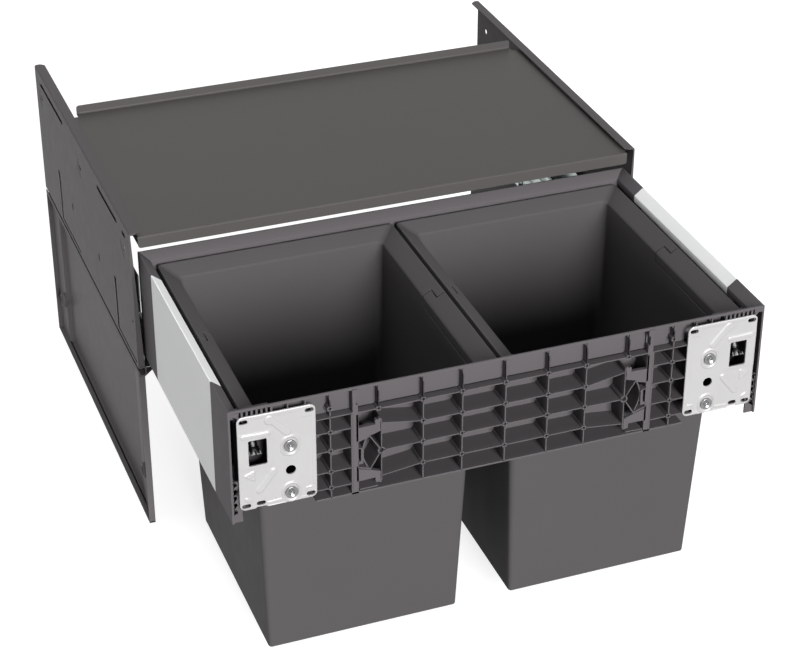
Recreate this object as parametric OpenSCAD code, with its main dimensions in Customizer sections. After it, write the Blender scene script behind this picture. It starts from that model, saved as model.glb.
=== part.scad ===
// Pull-out waste bin unit for a base cabinet, shown pulled out.
// X runs across the cabinet, Y runs to its back, Z runs up, all in millimetres.
// The origin lies at the middle of the unit's footprint.

/* [Side plates] */
// Width over the outer faces of the two side plates
overall_w = 564; // [540:1:640]
// Depth of the side plates
plate_depth = 445; // [430:1:520]
// Height of the side plates
plate_h = 358.5; // [352:0.5:400]
// Sheet thickness of the side plates
plate_t = 1.5; // [1:0.1:2]
// Width of the flange along the top of a side plate
top_flange = 11.4; // [9:0.2:13]
// Height of the coated sheet above its joint with the lower guard
sheet_h = 163; // [160.5:0.5:168]
// Inward set of the plate below the joint
seam_jog = 5; // [4:0.5:6]
// Height of that inward set
seam_drop = 5.5; // [4:0.5:7]
// Width of the inward shelf at the plate's lower edge
shelf_w = 21; // [19:0.5:24]
// Bevel across the shelf's front corner
shelf_bevel = 14; // [8:0.5:15]
// Radius of the screw holes into the cabinet wall
wall_hole_r = 2.5; // [2:0.1:3]
// Distance from the plate's top down to the row of wall screws
wall_hole_drop = 31; // [27:0.5:38]
// Distance from the front edge to the first wall screw
wall_hole_front = 30; // [25:1:40]
// Distance from the rear edge to the last wall screw
wall_hole_rear = 27; // [22:1:40]
// Radius of the dished spot round a wall screw
wall_dish_r = 11; // [8:0.5:13]
// Height of the long slots in a side plate
slot_h = 3.6; // [2.5:0.1:5]
// Distance from the plate's top down to the middle of the slots
slot_drop = 12.9; // [12:0.1:14]

/* [Lower guards] */
// Sheet thickness of the lower guards
guard_t = 1.5; // [1:0.1:2]
// Inset of the guard's margins from the outer face
guard_margin_in = 5; // [4:0.5:6]
// Inset of the guard's main panel from the outer face
guard_panel_in = 9.8; // [8:0.2:11]
// Width of the guard's front margin
guard_front_w = 30; // [27:1:40]
// Width of the guard's rear margin
guard_rear_w = 41; // [36:1:50]
// Radius of the screw bosses on a guard
boss_r = 9; // [7:0.5:10]
// Height of the guard's wall screws
boss_z = 58; // [40:1:80]
// Distance from the front edge to the guard's front screw
boss_front = 18; // [14:1:19]
// Distance from the rear edge to the guard's rear screw
boss_rear = 35; // [14:1:36]

/* [Shelf lid] */
// Sheet thickness of the lid
lid_t = 1.2; // [0.8:0.1:1.5]
// Depth of the lid
lid_depth = 307.5; // [300:0.5:320]
// Distance from the plate's top down to the lid's upper face
lid_drop = 5.1; // [3.5:0.1:6]
// Gap between the lid and the outer face of a plate
lid_gap = 9; // [8:0.5:10]
// Height of the lid's front lip
lid_lip = 12.9; // [10:0.1:14]
// Height of the upstand along the lid's rear edge
lid_upstand = 9.7; // [6:0.1:14]

/* [Drawer frame] */
// Travel of the drawer from closed to fully pulled out
pull_out = 312; // [300:1:320]
// Depth of the drawer frame
frame_depth = 320; // [312:1:326]
// Gap from the outer face of a side plate to the drawer's side
side_gap = 9.5; // [9:0.1:11]
// Distance from the plate's top down to the drawer frame's upper edge
frame_drop = 26; // [23.5:0.5:27.5]
// Height of the drawer sides
frame_h = 123.5; // [118:0.5:126]
// Width of the sloped upper face of the frame
bevel_w = 10.8; // [9:0.2:12]
// Fall of the sloped upper face
bevel_drop = 7.5; // [5:0.5:8]
// Wall thickness of the plastic frame parts
frame_t = 2; // [1.5:0.1:2.5]
// Length of a front corner piece along the side
front_block = 56; // [50:1:70]
// Length of a rear corner along the side
rear_block = 53; // [48:1:60]
// Wall thickness of the side covers
cover_t = 1.5; // [1.2:0.1:2]

/* [Front beam] */
// Height of the front beam
beam_h = 118.5; // [112:0.5:120]
// Depth of the ribbed cells
beam_depth = 26.5; // [22:0.5:26.5]
// Thickness of the ribs
rib_t = 1.8; // [1.2:0.1:2.4]
// Outer radius of the rings where ribs cross
ring_r = 3; // [2.4:0.1:3.5]
// Bore radius of those rings
ring_bore_r = 1.6; // [1:0.1:1.9]
// Width of the flat band beside a corner piece
band_w = 5.2; // [4:0.2:6]

/* [Front fixing plates] */
// Width of a fixing plate
fixing_w = 75; // [72:1:80]
// Height of a fixing plate
fixing_h = 102.5; // [100:0.5:106]
// Sheet thickness of a fixing plate
fixing_t = 1.5; // [1.2:0.1:2]
// Distance across between the slots for the front panel
fixing_slot_x = 62.5; // [58:0.5:64]
// Distance up between the slots for the front panel
fixing_slot_z = 95; // [88:0.5:96]
// Half the width of a slot
fixing_slot_r = 2.3; // [1.8:0.1:2.5]
// Length of a slot
fixing_slot_l = 8.8; // [7:0.2:10]

/* [Bins] */
// Clear height under the bins
bin_clear = 16.9; // [12:0.1:42]
// Gap between the two bins at their rims
bin_gap = 5.2; // [4:0.2:8]
// Gap between a bin rim and the frame's sloped face
rim_gap = 5.6; // [4:0.1:6]
// Width of the funnel-shaped rim
rim_w = 17.6; // [16:0.2:19]
// Fall of the rim towards the opening
rim_fall = 10; // [8:0.5:11]
// Wall thickness of a bin
bin_t = 2; // [1.6:0.1:2.4]
// Draw-in of each side wall from the opening to the base
side_draft = 11.1; // [6:0.1:14]
// Draw-in of the end walls from the opening to the base
end_draft = 14.5; // [8:0.1:16]
// Corner radius of a bin
bin_corner_r = 6; // [4:1:10]

/* [Runners] */
// Thickness of the rolled runner steel
rail_t = 1.1; // [1:0.05:1.2]
// Gap from a cabinet rail's rear end to the rear edge of its plate
rail_rear_gap = 5; // [5:1:18]
// Length of a middle rail
middle_rail_l = 400; // [390:1:405]
// Gap from a drawer rail's rear end to the rear end of its side wall
rail_end_gap = 2; // [0:0.5:10]
// Radius of the bearing balls
ball_r = 0.8; // [0.75:0.01:0.82]

/* [Hidden] */
$fn = 48;

// Running values shared by all parts
cut = 1;
fit = 0.3;
seat = 0.1;
skin = 0.05;
hull_fn = 32;
half_w = overall_w / 2;
plate_in = half_w - plate_t;
seam_z = plate_h - sheet_h;
wall_hole_z = plate_h - wall_hole_drop;
wall_hole_pitch = (plate_depth - wall_hole_front - wall_hole_rear) / 2;
slot_z = plate_h - slot_drop;
lid_z = plate_h - lid_drop;
frame_top = plate_h - frame_drop;
boss_pitch = plate_depth - boss_front - boss_rear;

// Side plate details
slot_rear_l = 118.5;
slot_rear_back = 23;
slot_rear_y = [plate_depth - slot_rear_back - slot_rear_l, plate_depth - slot_rear_back];
slot_front_y = [54, 140];
slot_nose_y = [19, 32];
dish_depth = 0.4;
groove_w = 1.4;
groove_depth = 0.6;
groove_rise = 8;
groove_h = 57.5;
groove_z = seam_z + groove_rise;
groove_top_z = groove_z + groove_h;
groove_rear_back = 97;
groove_rear_y = plate_depth - groove_rear_back;
groove_rear_l = 90;
groove_front_y = 82;
mark_w = 3;
mark_h = 9;
mark_rise = 54.5;
mark_z = seam_z + mark_rise;
mark_y = [156, 285];
tab_hole_y = 9;
tab_hole_rise = 56.5;
tab_hole_z = seam_z + tab_hole_rise;
lid_rest_back = 21.5;
lid_rest_y = lid_depth - lid_rest_back;
lid_rest_l = 14;
flange_corner = 6;

// Lower guard details
guard_ramp = 4;
guard_front_ramp = 32;
guard_h = seam_z - seam_drop - plate_t;

// Shelf lid details
lid_half = half_w - lid_gap;
lid_side_drop = 9.6;
lid_notch = 9;
lid_notch_l = 6;
lid_corner_r = 3;
tab_h = 2.4;
tab_long = [60, 134];
tab_short = [21.5, 29.5];

// Drawer frame details
rim_drop = 10.6;
rim_z = frame_top - rim_drop;
rim_skirt = 15.7;
frame_half = half_w - side_gap;
front_y = fit + seat + seat - pull_out;
rear_y = front_y + frame_depth;
frame_z = frame_top - frame_h;
bevel_z = frame_top - bevel_drop;
inner_half = frame_half - bevel_w;
rail_gap = 0.5;
side_in = inner_half - rail_gap;
wall_t = 1.5;
ledge_t = 1.5;
ledge_w = 8;
rear_ledge_w = 11;
lip_drop = 7;
cover_front_y = front_y + front_block;
cover_rear_y = rear_y - rear_block;
rail_door_rise = 70.5;
rail_door_z = seam_z + rail_door_rise;
wall_top_drop = 8;
catch_tab_l = 12;
catch_tab_h = 3.5;
catch_fin_t = 2;

// Front beam details, columns and rows as shares of the half width and the height
beam_z = frame_top - beam_h;
column_shares = [0, 0.1612, 0.3066];
outer_column_share = 0.6437;
latch_column_share = 0.4598;
top_column_share = 0.4705;
row_shares = [0.1654, 0.3671, 0.5629, 0.7637];
outer_row_shares = [0.1042, 0.2578, 0.4549, 0.6312, 0.8489];
lip_t = 2.4;
deck_z = rim_z - rim_skirt - fit;
band_share = 0.5633;
band_half = frame_half * band_share;
shallow = 10;
comb_count = 7;
comb_pitch = 4.65;
comb_rib_t = 2;
comb_share = 0.8444;
comb_h = 9;
top_rib_shares = [0.7339, 0.7952];
mesh_rows = 5;
mesh_pitch = 7.7;
mesh_hole = 3.4;
mesh_h = 40.4;
mesh_in = 4.2;
latch_ring_r = 4.2;
latch_ring_bore_r = 2.6;
latch_plate_t = 4;
latch_rise = [-5, 0, 8];
latch_box_w = 5.8;
latch_box_h = 18.4;
spoke_t = 1.4;
spoke_run = [12, 19];
window_depth_clear = 12;

// Front fixing plate details
fixing_in = 45.1;
fixing_mid_x = frame_half - fixing_in;
fixing_mid_share = 0.506;
fixing_mid_z = beam_z + beam_h * fixing_mid_share;
fixing_corner_r = 6;
fixing_gap = fit;
fixing_back_y = front_y - fixing_gap;
window_w = 17.8;
window_h = 28;
window_out = 18.6;
window_up = 10.7;
screw_in = 12.4;
screw_zs = [11.3, -40.5];
spare_hole_z = -15.8;
spare_hole_r = 5;
spare_slot_share = 0.475;
boss_ring_r = 10;
boss_ring_h = 1.1;
clamp_head_r = 6.2;
clamp_head_h = 1.6;
screw_front_y = fixing_back_y - fixing_t - fit - clamp_head_h;
clamp_socket_r = 2.8;
clamp_shank_r = 2;
clamp_shank_l = 20;
clamp_slot_r = 2.8;
adjust_travel = 2;
emboss_h = 0.9;
emboss_r = 2.6;
emboss_bars = [[-0.034, 0.343, 53, 0.38, 1.4], [0.16, -0.205, -53, 0.36, 1],
  [0.245, 0.293, 0, 0.32, 0.7], [0.043, -0.472, 0, 0.235, 0.7]];
adjuster_r = 5;
adjuster_out = 1.8;
adjuster_head_r = 7.6;
adjuster_set = 9;
adjuster_l = 15;
adjuster_head_l = 8;
adjuster_tilt = 38;
adjuster_recess = 2.2;
adjuster_neck_r = 2;
adjuster_neck_l = 5;
bearing_half_w = 4.6;
bearing_h = 11;

// Bin details
rim_land = 1;
rim_t = 2;
rim_half_x = (inner_half - rim_gap - bin_gap / 2) / 2;
bin_x = rim_half_x + bin_gap / 2;
rear_rim_gap = 3.7;
front_rim_gap = 2.5;
rim_rear_y = rear_y - bevel_w - rear_rim_gap;
rim_front_y = front_y + bevel_w + front_rim_gap;
rim_half_y = (rim_rear_y - rim_front_y) / 2;
bin_y = (rim_rear_y + rim_front_y) / 2;
open_half_x = rim_half_x - rim_w;
open_half_y = rim_half_y - rim_w;
open_z = rim_z - rim_fall;
bin_z = bin_clear;
rim_corner_r = 4;
base_bevel = 1.5;
hand_drop = 11;
hand_z = open_z - hand_drop;
hand_wall = 1.6;
riser_in = 2.1;
riser_out = 3.7;
seam_in_y = 7.7;
seam_out_y = -8.3;
seam_mid_in = 8.6;
seam_gap = 1.1;
pivot_y = 5.2;
pivot_z = open_z + 2.8;
peg_r = 1.6;
peg_clear = 0.05;
peg_l = 5.3;
lug_l = 21;
side_leaf_drop = 5.3;

// Shift that puts the origin under the middle of the unit
home_y = -(plate_depth + screw_front_y) / 2;

// Runner details, measured from the middle of the hollow in the drawer side
rail_mid = (side_in + frame_half - frame_t) / 2;
neck_t = rail_t;
bulb_half = 1.5;
bulb_h = 5;
race_half = 3.2;
cage_t = 0.9;
cage_gap = 0.4;
cage_side = bulb_half + cage_gap;
foot_z = seam_z + seat;
bulb_rise = 24.4;
bulb_z = foot_z + bulb_rise;
stage_h = 13;
channel_h = 10.4;
channel_drop = 3.4;
cabinet_rail_front = 5;
cabinet_rail_l = plate_depth - cabinet_rail_front - rail_rear_gap;
middle_rail_inset = 10;
middle_rail_front = middle_rail_inset - pull_out / 2;
drawer_rail_front = front_y + beam_depth + fit + seat;
drawer_rail_l = rear_y - bevel_w - fit - rail_end_gap - drawer_rail_front;
lower_cage_l = 150;
lower_cage_inset = 138;
lower_cage_front = lower_cage_inset - pull_out / 4;
upper_cage_l = 120;
upper_cage_inset = 101;
upper_cage_front = upper_cage_inset - pull_out * 3 / 4;
ball_count = 5;
ball_inset = 12;
web_top_z = rail_door_z;
web_lip = 4.5;
hook_rise = 9.4;
hook_z = foot_z + hook_rise;
hook_w = 5.6;
hook_h = 5.5;
rail_tab_h = 26;
bracket_rise = 66.5;
bracket_h = 47;
bracket_z = [seam_z + bracket_rise, seam_z + bracket_rise + bracket_h];
bracket_y = [0, 28];
bracket_out = 6.2;
stop_l = 14;
stop_h = 15;
stop_screw_r = 2;
rivet_r = 3.2;
rivet_h = 0.8;
rivet_back = 35;
rivet_rise = 49.5;
rivet_y = [40, 150, 260, plate_depth - rivet_back];
rivet_z = seam_z + rivet_rise;
damper_r = 5;
damper_l = 96;
damper_rear_gap = 17;
damper_front = plate_depth - damper_rear_gap - damper_l;
damper_rise = 7.6;
damper_z = foot_z + damper_rise;
damper_in = 10;
damper_pad = 12;
rod_r = 1.5;
rod_reach = 77;
rod_inside = 16;
rod_front = damper_front - rod_reach;
rod_back = damper_front + rod_inside;
rod_bore_l = 80;
catch_l = 14;
catch_w = 6;
catch_h = 6.5;
catch_groove_w = 3.4;
catch_groove_h = 2.4;

// Shared shapes

module home() translate([0, home_y, 0]) children();

// A flat outline in X and Z, drawn from y0 to y1
module across(y0, y1) translate([0, y1, 0]) rotate([90, 0, 0]) linear_extrude(y1 - y0) children();

// A flat outline in Y and Z, drawn from x0 to x1
module along(x0, x1) translate([x0, 0, 0]) rotate([90, 0, 90]) linear_extrude(x1 - x0) children();

// A flat outline in X and Y, drawn from z0 to z1
module up(z0, z1) translate([0, 0, z0]) linear_extrude(z1 - z0) children();

// A box between two corners
module block(a, b) translate(a) cube(b - a);

// A rectangle between two corners of a flat outline
module patch(a, b) translate(a) square(b - a);

// A centred rectangle with round corners
module soft_rect(w, d, r, fn = $fn) {
  square([w - 2 * r, d], center = true);
  square([w, d - 2 * r], center = true);
  for (i = [-1, 1], j = [-1, 1]) translate([i * (w / 2 - r), j * (d / 2 - r)]) circle(r, $fn = fn);
}

// A long hole or bar with round ends, lying along its first axis
module bar(l, r) {
  square([l - 2 * r, 2 * r], center = true);
  for (i = [-1, 1]) translate([i * (l / 2 - r), 0]) circle(r);
}

module left() mirror([1, 0, 0]) children();

// Side plate, drawn for the right side
module side_plate() {
  color("#5c595a") home() difference() {
    union() {
      block([plate_in, 0, seam_z], [half_w, plate_depth, plate_h]);
      difference() {
        block([half_w - top_flange, 0, plate_h - plate_t], [half_w, plate_depth, plate_h]);
        for (y = [0, plate_depth]) translate([half_w - top_flange, y, plate_h])
          rotate([0, 0, 45]) cube([flange_corner, flange_corner, 4 * plate_t], center = true);
      }
      block([half_w - seam_jog - plate_t, 0, seam_z - plate_t], [half_w, plate_depth, seam_z]);
      block([half_w - seam_jog - plate_t, 0, seam_z - seam_drop - plate_t],
        [half_w - seam_jog, plate_depth, seam_z]);
      up(seam_z - seam_drop - plate_t, seam_z - seam_drop) polygon([
        [half_w - seam_jog, 0], [half_w - shelf_w + shelf_bevel, 0], [half_w - shelf_w, shelf_bevel],
        [half_w - shelf_w, plate_depth], [half_w - seam_jog, plate_depth]]);
      block([lid_half - lid_t, lid_rest_y, lid_z - lid_side_drop - fit - plate_t],
        [plate_in + plate_t / 2, lid_rest_y + lid_rest_l, lid_z - lid_side_drop - fit]);
    }
    for (y = [slot_rear_y, slot_front_y, slot_nose_y])
      block([plate_in - cut, y[0], slot_z - slot_h / 2], [half_w + cut, y[1], slot_z + slot_h / 2]);
    for (i = [0, 1, 2]) translate([plate_in - cut, wall_hole_front + i * wall_hole_pitch, wall_hole_z]) {
      rotate([0, 90, 0]) cylinder(r = wall_hole_r, h = plate_t + 2 * cut);
      translate([cut + plate_t - dish_depth, 0, 0]) rotate([0, 90, 0]) cylinder(r = wall_dish_r, h = cut);
    }
    block([half_w - groove_depth, groove_rear_y, groove_z],
      [half_w + cut, groove_rear_y + groove_w, groove_top_z]);
    block([half_w - groove_depth, groove_rear_y - groove_rear_l, groove_z],
      [half_w + cut, groove_rear_y + groove_w, groove_z + groove_w]);
    block([half_w - groove_depth, groove_front_y, groove_z],
      [half_w + cut, groove_front_y + groove_w, groove_top_z]);
    block([half_w - groove_depth, -cut, groove_z],
      [half_w + cut, groove_front_y + groove_w, groove_z + groove_w]);
    for (y = mark_y) block([half_w - groove_depth, y, mark_z - mark_h / 2],
      [half_w + cut, y + mark_w, mark_z + mark_h / 2]);
    block([plate_in - cut, tab_hole_y, tab_hole_z - mark_w], [half_w + cut, tab_hole_y + mark_w, tab_hole_z]);
  }
}

// Lower guard, drawn for the right side
module lower_guard() {
  margin = half_w - guard_margin_in;
  panel = half_w - guard_panel_in;
  ramp_y = plate_depth - guard_rear_w;
  color("#575455") home() difference() {
    union() {
      up(0, guard_h) polygon([
        [half_w, 0], [half_w, guard_t], [margin, guard_t], [margin, guard_front_w],
        [panel, guard_front_w + guard_front_ramp], [panel, ramp_y - guard_ramp], [margin, ramp_y],
        [margin, plate_depth - guard_t], [half_w, plate_depth - guard_t], [half_w, plate_depth],
        [margin - guard_t, plate_depth], [margin - guard_t, ramp_y],
        [panel - guard_t, ramp_y - guard_ramp], [panel - guard_t, guard_front_w + guard_front_ramp],
        [margin - guard_t, guard_front_w], [margin - guard_t, 0]]);
      block([panel - guard_t, 0, 0], [half_w, plate_depth, guard_t]);
      for (i = [0, 1]) translate([margin - guard_t, boss_front + i * boss_pitch, boss_z])
        rotate([0, 90, 0]) cylinder(r = boss_r, h = guard_margin_in + guard_t);
    }
    for (i = [0, 1]) translate([margin - guard_t - cut, boss_front + i * boss_pitch, boss_z])
      rotate([0, 90, 0]) cylinder(r = wall_hole_r, h = guard_margin_in + guard_t + 2 * cut);
    block([panel - guard_t - cut, -cut, -cut], [margin - guard_t, guard_front_w, guard_t + cut]);
  }
}

// Half of the lid's outline in plan
module lid_half_outline() {
  patch([0, 0], [lid_half, lid_depth - lid_notch]);
  patch([0, 0], [lid_half - lid_notch, lid_depth]);
}

module shelf_lid() {
  color("#5a5956") home() union() {
    up(lid_z - lid_t, lid_z) {
      lid_half_outline();
      left() lid_half_outline();
    }
    across(0, lid_t) union() {
      patch([-lid_half, lid_z - lid_lip + lid_corner_r], [lid_half, lid_z]);
      patch([-lid_half + lid_corner_r, lid_z - lid_lip], [lid_half - lid_corner_r, lid_z]);
      for (i = [-1, 1]) translate([i * (lid_half - lid_corner_r), lid_z - lid_lip + lid_corner_r])
        circle(lid_corner_r);
    }
    across(lid_depth - lid_t, lid_depth) union() {
      top = lid_z + lid_upstand;
      side = lid_half - lid_notch;
      patch([-side, lid_z - lid_t], [side, top - lid_corner_r]);
      patch([-side + lid_corner_r, lid_z - lid_t], [side - lid_corner_r, top]);
      for (i = [-1, 1]) translate([i * (side - lid_corner_r), top - lid_corner_r]) circle(lid_corner_r);
    }
    for (i = [0, 1]) mirror([i, 0, 0]) {
      block([lid_half - lid_t, lid_t, lid_z - lid_side_drop], [lid_half, lid_depth - lid_notch, lid_z]);
      for (y = [tab_long, tab_short])
        block([lid_half - lid_t, y[0], slot_z - tab_h / 2], [half_w, y[1], slot_z + tab_h / 2]);
    }
  }
}

// Neck and bulb that the balls run on, standing on height z
module bulb(z0, z1) {
  patch([rail_mid - neck_t / 2, z0], [rail_mid + neck_t / 2, z1 + skin]);
  patch([rail_mid - bulb_half, z1], [rail_mid + bulb_half, z1 + bulb_h]);
}

// Channel that hangs over a bulb whose underside is at height z
module channel(z) {
  side = race_half + rail_t;
  top = z - channel_drop + channel_h + rail_t;
  difference() {
    patch([rail_mid - side, z - channel_drop - rail_t], [rail_mid + side, top]);
    patch([rail_mid - race_half, z - channel_drop], [rail_mid + race_half, top - rail_t]);
    patch([rail_mid - neck_t / 2 - cage_gap, z - channel_drop - rail_t - cut],
      [rail_mid + neck_t / 2 + cage_gap, z]);
  }
}

// Cabinet rail: foot, web and hook on the side plate, with the first bulb
module cabinet_rail() {
  color("#9fa6a3") home() across(cabinet_rail_front, cabinet_rail_front + cabinet_rail_l) union() {
    web = plate_in - seat;
    patch([rail_mid - bulb_half, foot_z], [web, foot_z + rail_t]);
    patch([web - rail_t, foot_z], [web, web_top_z]);
    patch([web - web_lip, web_top_z - rail_t], [web, web_top_z]);
    patch([web - rail_t - hook_w, hook_z], [web, hook_z + rail_t]);
    patch([web - rail_t - hook_w, hook_z], [web - hook_w, hook_z + hook_h]);
    bulb(foot_z, bulb_z);
  }
}

// Zinc bracket at the front of the cabinet rail
module rail_bracket() {
  face = half_w - bracket_out;
  color("#9fa6a3") home() union() {
    block([face - rail_t, bracket_y[0], bracket_z[0] + stop_h + rail_t], [face, bracket_y[1], bracket_z[1]]);
    block([face - rail_t, bracket_y[1] - rail_t, web_top_z + seat], [plate_in - seat, bracket_y[1], bracket_z[1]]);
  }
}

// Plastic end stop below the bracket
module front_stop() {
  face = half_w - bracket_out;
  mid_y = bracket_y[0] + stop_l / 2;
  mid_z = web_top_z + seat + stop_h / 3;
  color("#1f1f20") home() difference() {
    block([face - rail_t, bracket_y[0] + rail_t, web_top_z + seat],
      [plate_in - seat, bracket_y[0] + stop_l, bracket_z[0] + stop_h]);
    translate([face - rail_t - cut, mid_y, mid_z]) rotate([0, 90, 0]) cylinder(r = stop_screw_r, h = 2 * cut);
  }
}

// Soft-close damper on the shelf of the cabinet rail
module damper_housing() {
  mid = rail_mid - damper_in;
  color("#2a2a2c") home() difference() {
    union() {
      translate([mid, damper_front + damper_l, damper_z]) rotate([90, 0, 0]) cylinder(r = damper_r, h = damper_l);
      for (y = [damper_front, damper_front + damper_l - damper_pad])
        block([mid - damper_r, y, foot_z + rail_t], [rail_mid - bulb_half, y + damper_pad, damper_z]);
      for (y = [damper_front, damper_front + damper_l - damper_pad])
        block([mid, y, foot_z], [rail_mid - bulb_half - seat, y + damper_pad, damper_z]);
    }
    translate([mid, damper_front + rod_bore_l, damper_z]) rotate([90, 0, 0])
      cylinder(r = rod_r + peg_clear, h = rod_bore_l + cut);
  }
}

// Rod and catch that the damper slows
module damper_catch() {
  mid = rail_mid - damper_in;
  color("#b9bcbc") home() union() {
    translate([mid, rod_back, damper_z]) rotate([90, 0, 0]) cylinder(r = rod_r, h = rod_back - rod_front);
    difference() {
      block([mid - catch_w / 2, rod_front - catch_l, damper_z - catch_h / 2],
        [mid + catch_w / 2, rod_front, damper_z + catch_h / 2]);
      block([mid - catch_groove_w / 2, rod_front - catch_l - cut, damper_z + catch_h / 2 - catch_groove_h],
        [mid + catch_groove_w / 2, rod_front + cut, damper_z + catch_h]);
    }
  }
}

// Rivets that hold the rails to the side plates
module rail_rivets() {
  color("#9a9c9c") home() for (i = [0, 1], y = rivet_y) mirror([i, 0, 0])
    translate([plate_in - seat - rail_t - rivet_h, y, rivet_z]) rotate([0, 90, 0]) cylinder(r = rivet_r, h = rivet_h);
}

// Middle rail: channel below, bulb above
module middle_rail() {
  color("#aab0ae") home() across(middle_rail_front, middle_rail_front + middle_rail_l) union() {
    channel(bulb_z);
    bulb(bulb_z - channel_drop + channel_h, bulb_z + stage_h);
  }
}

// Drawer rail: channel with a tab that is fixed to the side wall
module drawer_rail() {
  color("#aab0ae") home() across(drawer_rail_front, drawer_rail_front + drawer_rail_l) union() {
    z = bulb_z + stage_h;
    channel(z);
    patch([side_in + seat, z - channel_drop - rail_t], [rail_mid - race_half, z - channel_drop + rail_tab_h]);
  }
}

// Ball cage round a bulb, from the front end y, with its balls
module cage(z, y, l) {
  step = (l - 2 * ball_inset) / (ball_count - 1);
  ball_out = (bulb_half + race_half) / 2;
  color("#d8d6cc") home() difference() {
    across(y, y + l) difference() {
      patch([rail_mid - cage_side - cage_t, z + cage_gap],
        [rail_mid + cage_side + cage_t, z + bulb_h + cage_gap + cage_t]);
      patch([rail_mid - cage_side, z], [rail_mid + cage_side, z + bulb_h + cage_gap]);
    }
    for (i = [0 : ball_count - 1]) translate([rail_mid, y + ball_inset + i * step, z + bulb_h / 2])
      rotate([0, 90, 0]) cylinder(r = ball_r + seat, h = 2 * race_half, center = true);
  }
  color("#c4c7c8") home() for (i = [0 : ball_count - 1], j = [-1, 1])
    translate([rail_mid + j * ball_out, y + ball_inset + i * step, z + bulb_h / 2]) sphere(ball_r);
}

// Hollow outline of a drawer side in X and Z
module side_shell(t, lip) {
  in = inner_half;
  difference() {
    polygon([[frame_half, frame_z], [frame_half, frame_top], [frame_half - t, frame_top],
      [in, bevel_z], [in, bevel_z - lip], [in + t, bevel_z - lip], [in + t, bevel_z - t / 2],
      [frame_half - t, frame_top - t * 1.5], [frame_half - t, frame_z]]);
  }
}

// Outline of the front beam's or rear bar's shell in Y and Z, its outer face at y = 0 and its depth to +Y
module beam_shell(t, drop) {
  polygon([[0, frame_top - lip_t], [0, frame_top], [t, frame_top], [bevel_w, bevel_z],
    [bevel_w, bevel_z - drop], [bevel_w - t, bevel_z - drop], [bevel_w - t, bevel_z - t / 2],
    [t, frame_top - lip_t]]);
}

// Ring at a crossing of ribs
module ring_at(x, z, r) translate([x, z]) circle(r);

module ring_bores(xs, zs, r) for (x = xs, z = zs) translate([x, z]) circle(r);

// Ribs, rings and bands of the middle beam, right half, in X and Z
module mid_ribs() {
  cols = [for (s = column_shares) s * frame_half];
  rows = [for (s = row_shares) beam_z + s * beam_h];
  latch = latch_column_share * frame_half;
  top_col = top_column_share * frame_half;
  difference() {
    union() {
      for (x = cols) patch([x - rib_t / 2, beam_z], [x + rib_t / 2, deck_z]);
      for (z = [rows[0], rows[1], rows[2]]) patch([0, z - rib_t / 2], [cols[2], z + rib_t / 2]);
      patch([0, rows[3] - rib_t / 2], [band_half - band_w / 2, rows[3] + rib_t / 2]);
      patch([0, beam_z], [band_half, beam_z + rib_t]);
      patch([latch - rib_t / 2, beam_z], [latch + rib_t / 2, rows[2] + rib_t * 7]);
      for (i = [0, 1, 2]) rib_line([cols[2], rows[i]], [latch, rows[i] + latch_rise[i]]);
      for (x = cols, z = rows) ring_at(x, z, ring_r);
      ring_at(top_col, rows[3], ring_r);
      ring_at(latch, rows[1], latch_ring_r);
      for (j = [-1, 1]) rib_line([latch, rows[1]], [latch, rows[1]] + [spoke_run[0], j * spoke_run[1]]);
    }
    ring_bores(cols, rows, ring_bore_r);
    ring_bores([top_col], [rows[3]], ring_bore_r);
    ring_bores([latch], [rows[1]], latch_ring_bore_r);
  }
}

// A rib between two points
module rib_line(a, b) {
  d = b - a;
  translate(a) rotate(atan2(d[1], d[0])) translate([0, -spoke_t / 2]) square([norm(d), spoke_t]);
}

// Space over the deck behind the top row, which the bins' rims need
module above_deck() block([-ring_r - cut, front_y + shallow, deck_z],
  [frame_half + cut, front_y + beam_depth + cut, frame_top + cut]);

// Flat latch plates and the latch box beside the band
module latch_plates() {
  rows = [for (s = row_shares) beam_z + s * beam_h];
  latch = latch_column_share * frame_half;
  edge = band_half - band_w / 2;
  difference() {
    union() {
      polygon([[latch, rows[2] + rib_t * 3], [edge, rows[2] + rib_t * 4], [edge, rows[1] + latch_box_h * 0.75],
        [latch, rows[2]]]);
      polygon([[latch, rows[0] + rib_t], [edge, rows[1] - latch_box_h * 0.7], [edge, beam_z + rib_t * 4],
        [latch, beam_z + rib_t * 4]]);
      patch([edge - latch_box_w - rib_t, rows[1] - latch_box_h / 2], [edge, rows[1] + latch_box_h / 2]);
    }
    patch([edge - latch_box_w, rows[1] - latch_box_h / 2 + rib_t],
      [edge - rib_t, rows[1] + latch_box_h / 2 - rib_t]);
  }
}

// Right half of the middle beam
module half_beam() {
  back = front_y + beam_depth;
  difference() {
    across(front_y, back - wall_t) mid_ribs();
    above_deck();
  }
  across(front_y, front_y + latch_plate_t) latch_plates();
  across(front_y, front_y + shallow) for (s = concat(column_shares, [top_column_share])) {
    x = s * frame_half;
    patch([x - rib_t / 2, deck_z - rib_t], [x + rib_t / 2, frame_top - lip_t]);
  }
  block([0, back - wall_t, beam_z], [band_half, back, deck_z]);
  block([0, front_y + shallow - wall_t, deck_z - ledge_t], [band_half, back, deck_z]);
  block([0, front_y + shallow - wall_t, deck_z - ledge_t], [band_half, front_y + bevel_w, bevel_z]);
  translate([0, front_y, 0]) along(0, band_half) beam_shell(frame_t, lip_drop);
  block([band_half - band_w, front_y, beam_z], [band_half, back, deck_z]);
  block([band_half - band_w, front_y, deck_z - ledge_t], [band_half, front_y + shallow, frame_top - lip_t / 2]);
}

module front_beam() {
  color("#6a6769") home() union() {
    half_beam();
    left() half_beam();
  }
}

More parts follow.
